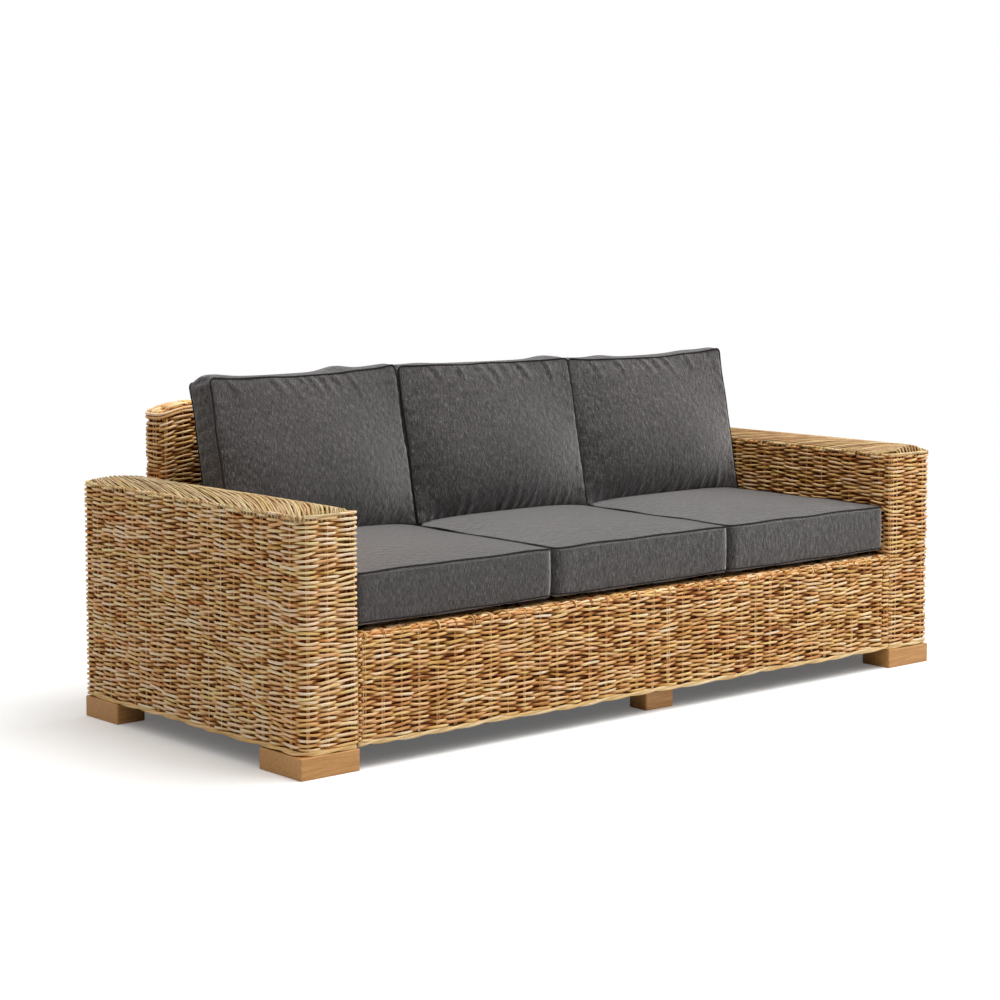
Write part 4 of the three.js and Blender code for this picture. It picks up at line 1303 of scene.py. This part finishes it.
# Carried-over wood; the feet get rounded edges
footEdge = 0.0025
nodeLooks = {"timber": sawnHardwood, "pole": rattanPole}
for part in frame["record"]["subparts"]:
    node = part["node"]
    if part["material_slot"] == "foot":
        shape = bmesh.new()
        shape.from_mesh(frame["nodes"][node].data)
        bmesh.ops.remove_doubles(shape, verts=shape.verts, dist=0.00001)
        bmesh.ops.dissolve_limit(shape, angle_limit=0.02, verts=shape.verts, edges=shape.edges)
        sharp = [edge for edge in shape.edges if edge.calc_face_angle(0) > 0.5]
        bmesh.ops.bevel(
            shape, geom=sharp, offset=footEdge, segments=3, profile=0.5, affect="EDGES", material=-1,
        )
        bmesh.ops.recalc_face_normals(shape, faces=shape.faces)
        dressNode([addObject(node + "_block", closeMesh(shape, node + "Block"), oiledTeak)], node)
    elif part["material_slot"] in nodeLooks:
        materials = frame["nodes"][node].data.materials
        materials.clear()
        materials.append(nodeLooks[part["material_slot"]])
print("Frame wood finished")

# Floor and light
# White paper roll, matt: the camera sees the shadow near the sofa, and pure white away from it
floor = {
    "size": 40.0, "colour": "#DCDCDB", "shown": "#FBFBFA", "lift": 0.12, "nearEdge": 2.2, "farEdge": 4.5,
}
white = (1, 1, 1, 1)
shape = bmesh.new()
bmesh.ops.create_grid(shape, x_segments=1, y_segments=1, size=floor["size"] / 2)
floorMaterial, tree = newMaterial("paperBackdrop", 0.9)
finishMaterial(floorMaterial, {"Base Color": hexColour(floor["colour"]), "Specular IOR Level": 0.0})
distance = addNode(tree, "VectorMath", {
    "operation": "LENGTH", "Vector": addNode(tree, "TexCoord", {}, "Object"),
}, "Value")
fade = addNode(tree, "MapRange", {
    "Value": distance, "From Min": floor["nearEdge"], "From Max": floor["farEdge"],
})
lift = addNode(tree, "Emission", {"Color": white, "Strength": floor["lift"]})
glow = addNode(tree, "Emission", {"Color": white, "Strength": 1.0})
shown = addNode(tree, "BsdfDiffuse", {"Color": hexColour(floor["shown"])})
lifted = addNode(tree, "AddShader", {0: shown, 1: lift})
faded = addNode(tree, "MixShader", {0: fade, 1: lifted, 2: glow})
seen = addNode(tree, "MixShader", {
    0: addNode(tree, "LightPath", {}, "Is Camera Ray"),
    1: tree.nodes["Principled BSDF"].outputs["BSDF"], 2: faded,
})
setInput(tree, tree.nodes["Material Output"], "Surface", seen)
addObject("Floor", closeMesh(shape, "Floor"), floorMaterial)

# The studio's white dome is dim near the floor and bright overhead, and shows as plain white
light = {"horizon": 0.03, "zenith": 1.15, "from": 0.22}
world = bpy.data.worlds.new("Studio")
scene.world = world
world.use_nodes = True
tree = world.node_tree
background = tree.nodes["Background"]
heading = addNode(tree, "TexCoord", {}, "Generated")
dome = addNode(tree, "MapRange", {
    "Value": addNode(tree, "SeparateXYZ", {"Vector": heading}, "Z"),
    "From Min": light["from"], "From Max": 1.0, "To Min": light["horizon"], "To Max": light["zenith"],
})
setInput(tree, background, "Color", white)
setInput(tree, background, "Strength", dome)
rays = addNode(tree, "LightPath", {}).node.outputs
either = addNode(tree, "Math", {"operation": "MAXIMUM", 0: rays["Is Camera Ray"], 1: rays["Is Glossy Ray"]})
bare = addNode(tree, "Background", {"Color": white, "Strength": 1.0})
mixed = addNode(tree, "MixShader", {0: either, 1: background.outputs["Background"], 2: bare})
setInput(tree, tree.nodes["World Output"], "Surface", mixed)


def addSoftbox(name, place, target, size, power):
    data = bpy.data.lights.new(name, "AREA")
    data.shape = "RECTANGLE"
    data.size, data.size_y = size
    data.energy = power
    lamp = bpy.data.objects.new(name, data)
    lamp.location = place
    lamp.rotation_euler = (Vector(target) - Vector(place)).to_track_quat("-Z", "Y").to_euler()
    scene.collection.objects.link(lamp)


addSoftbox("overheadBox", (0.9, -1.1, 4.2), (0.0, 0.0, 0.3), (4.0, 3.0), 176)
addSoftbox("rightBox", (4.4, -2.9, 2.9), (0.0, 0.0, 0.4), (2.0, 2.0), 46)
print("Light set")
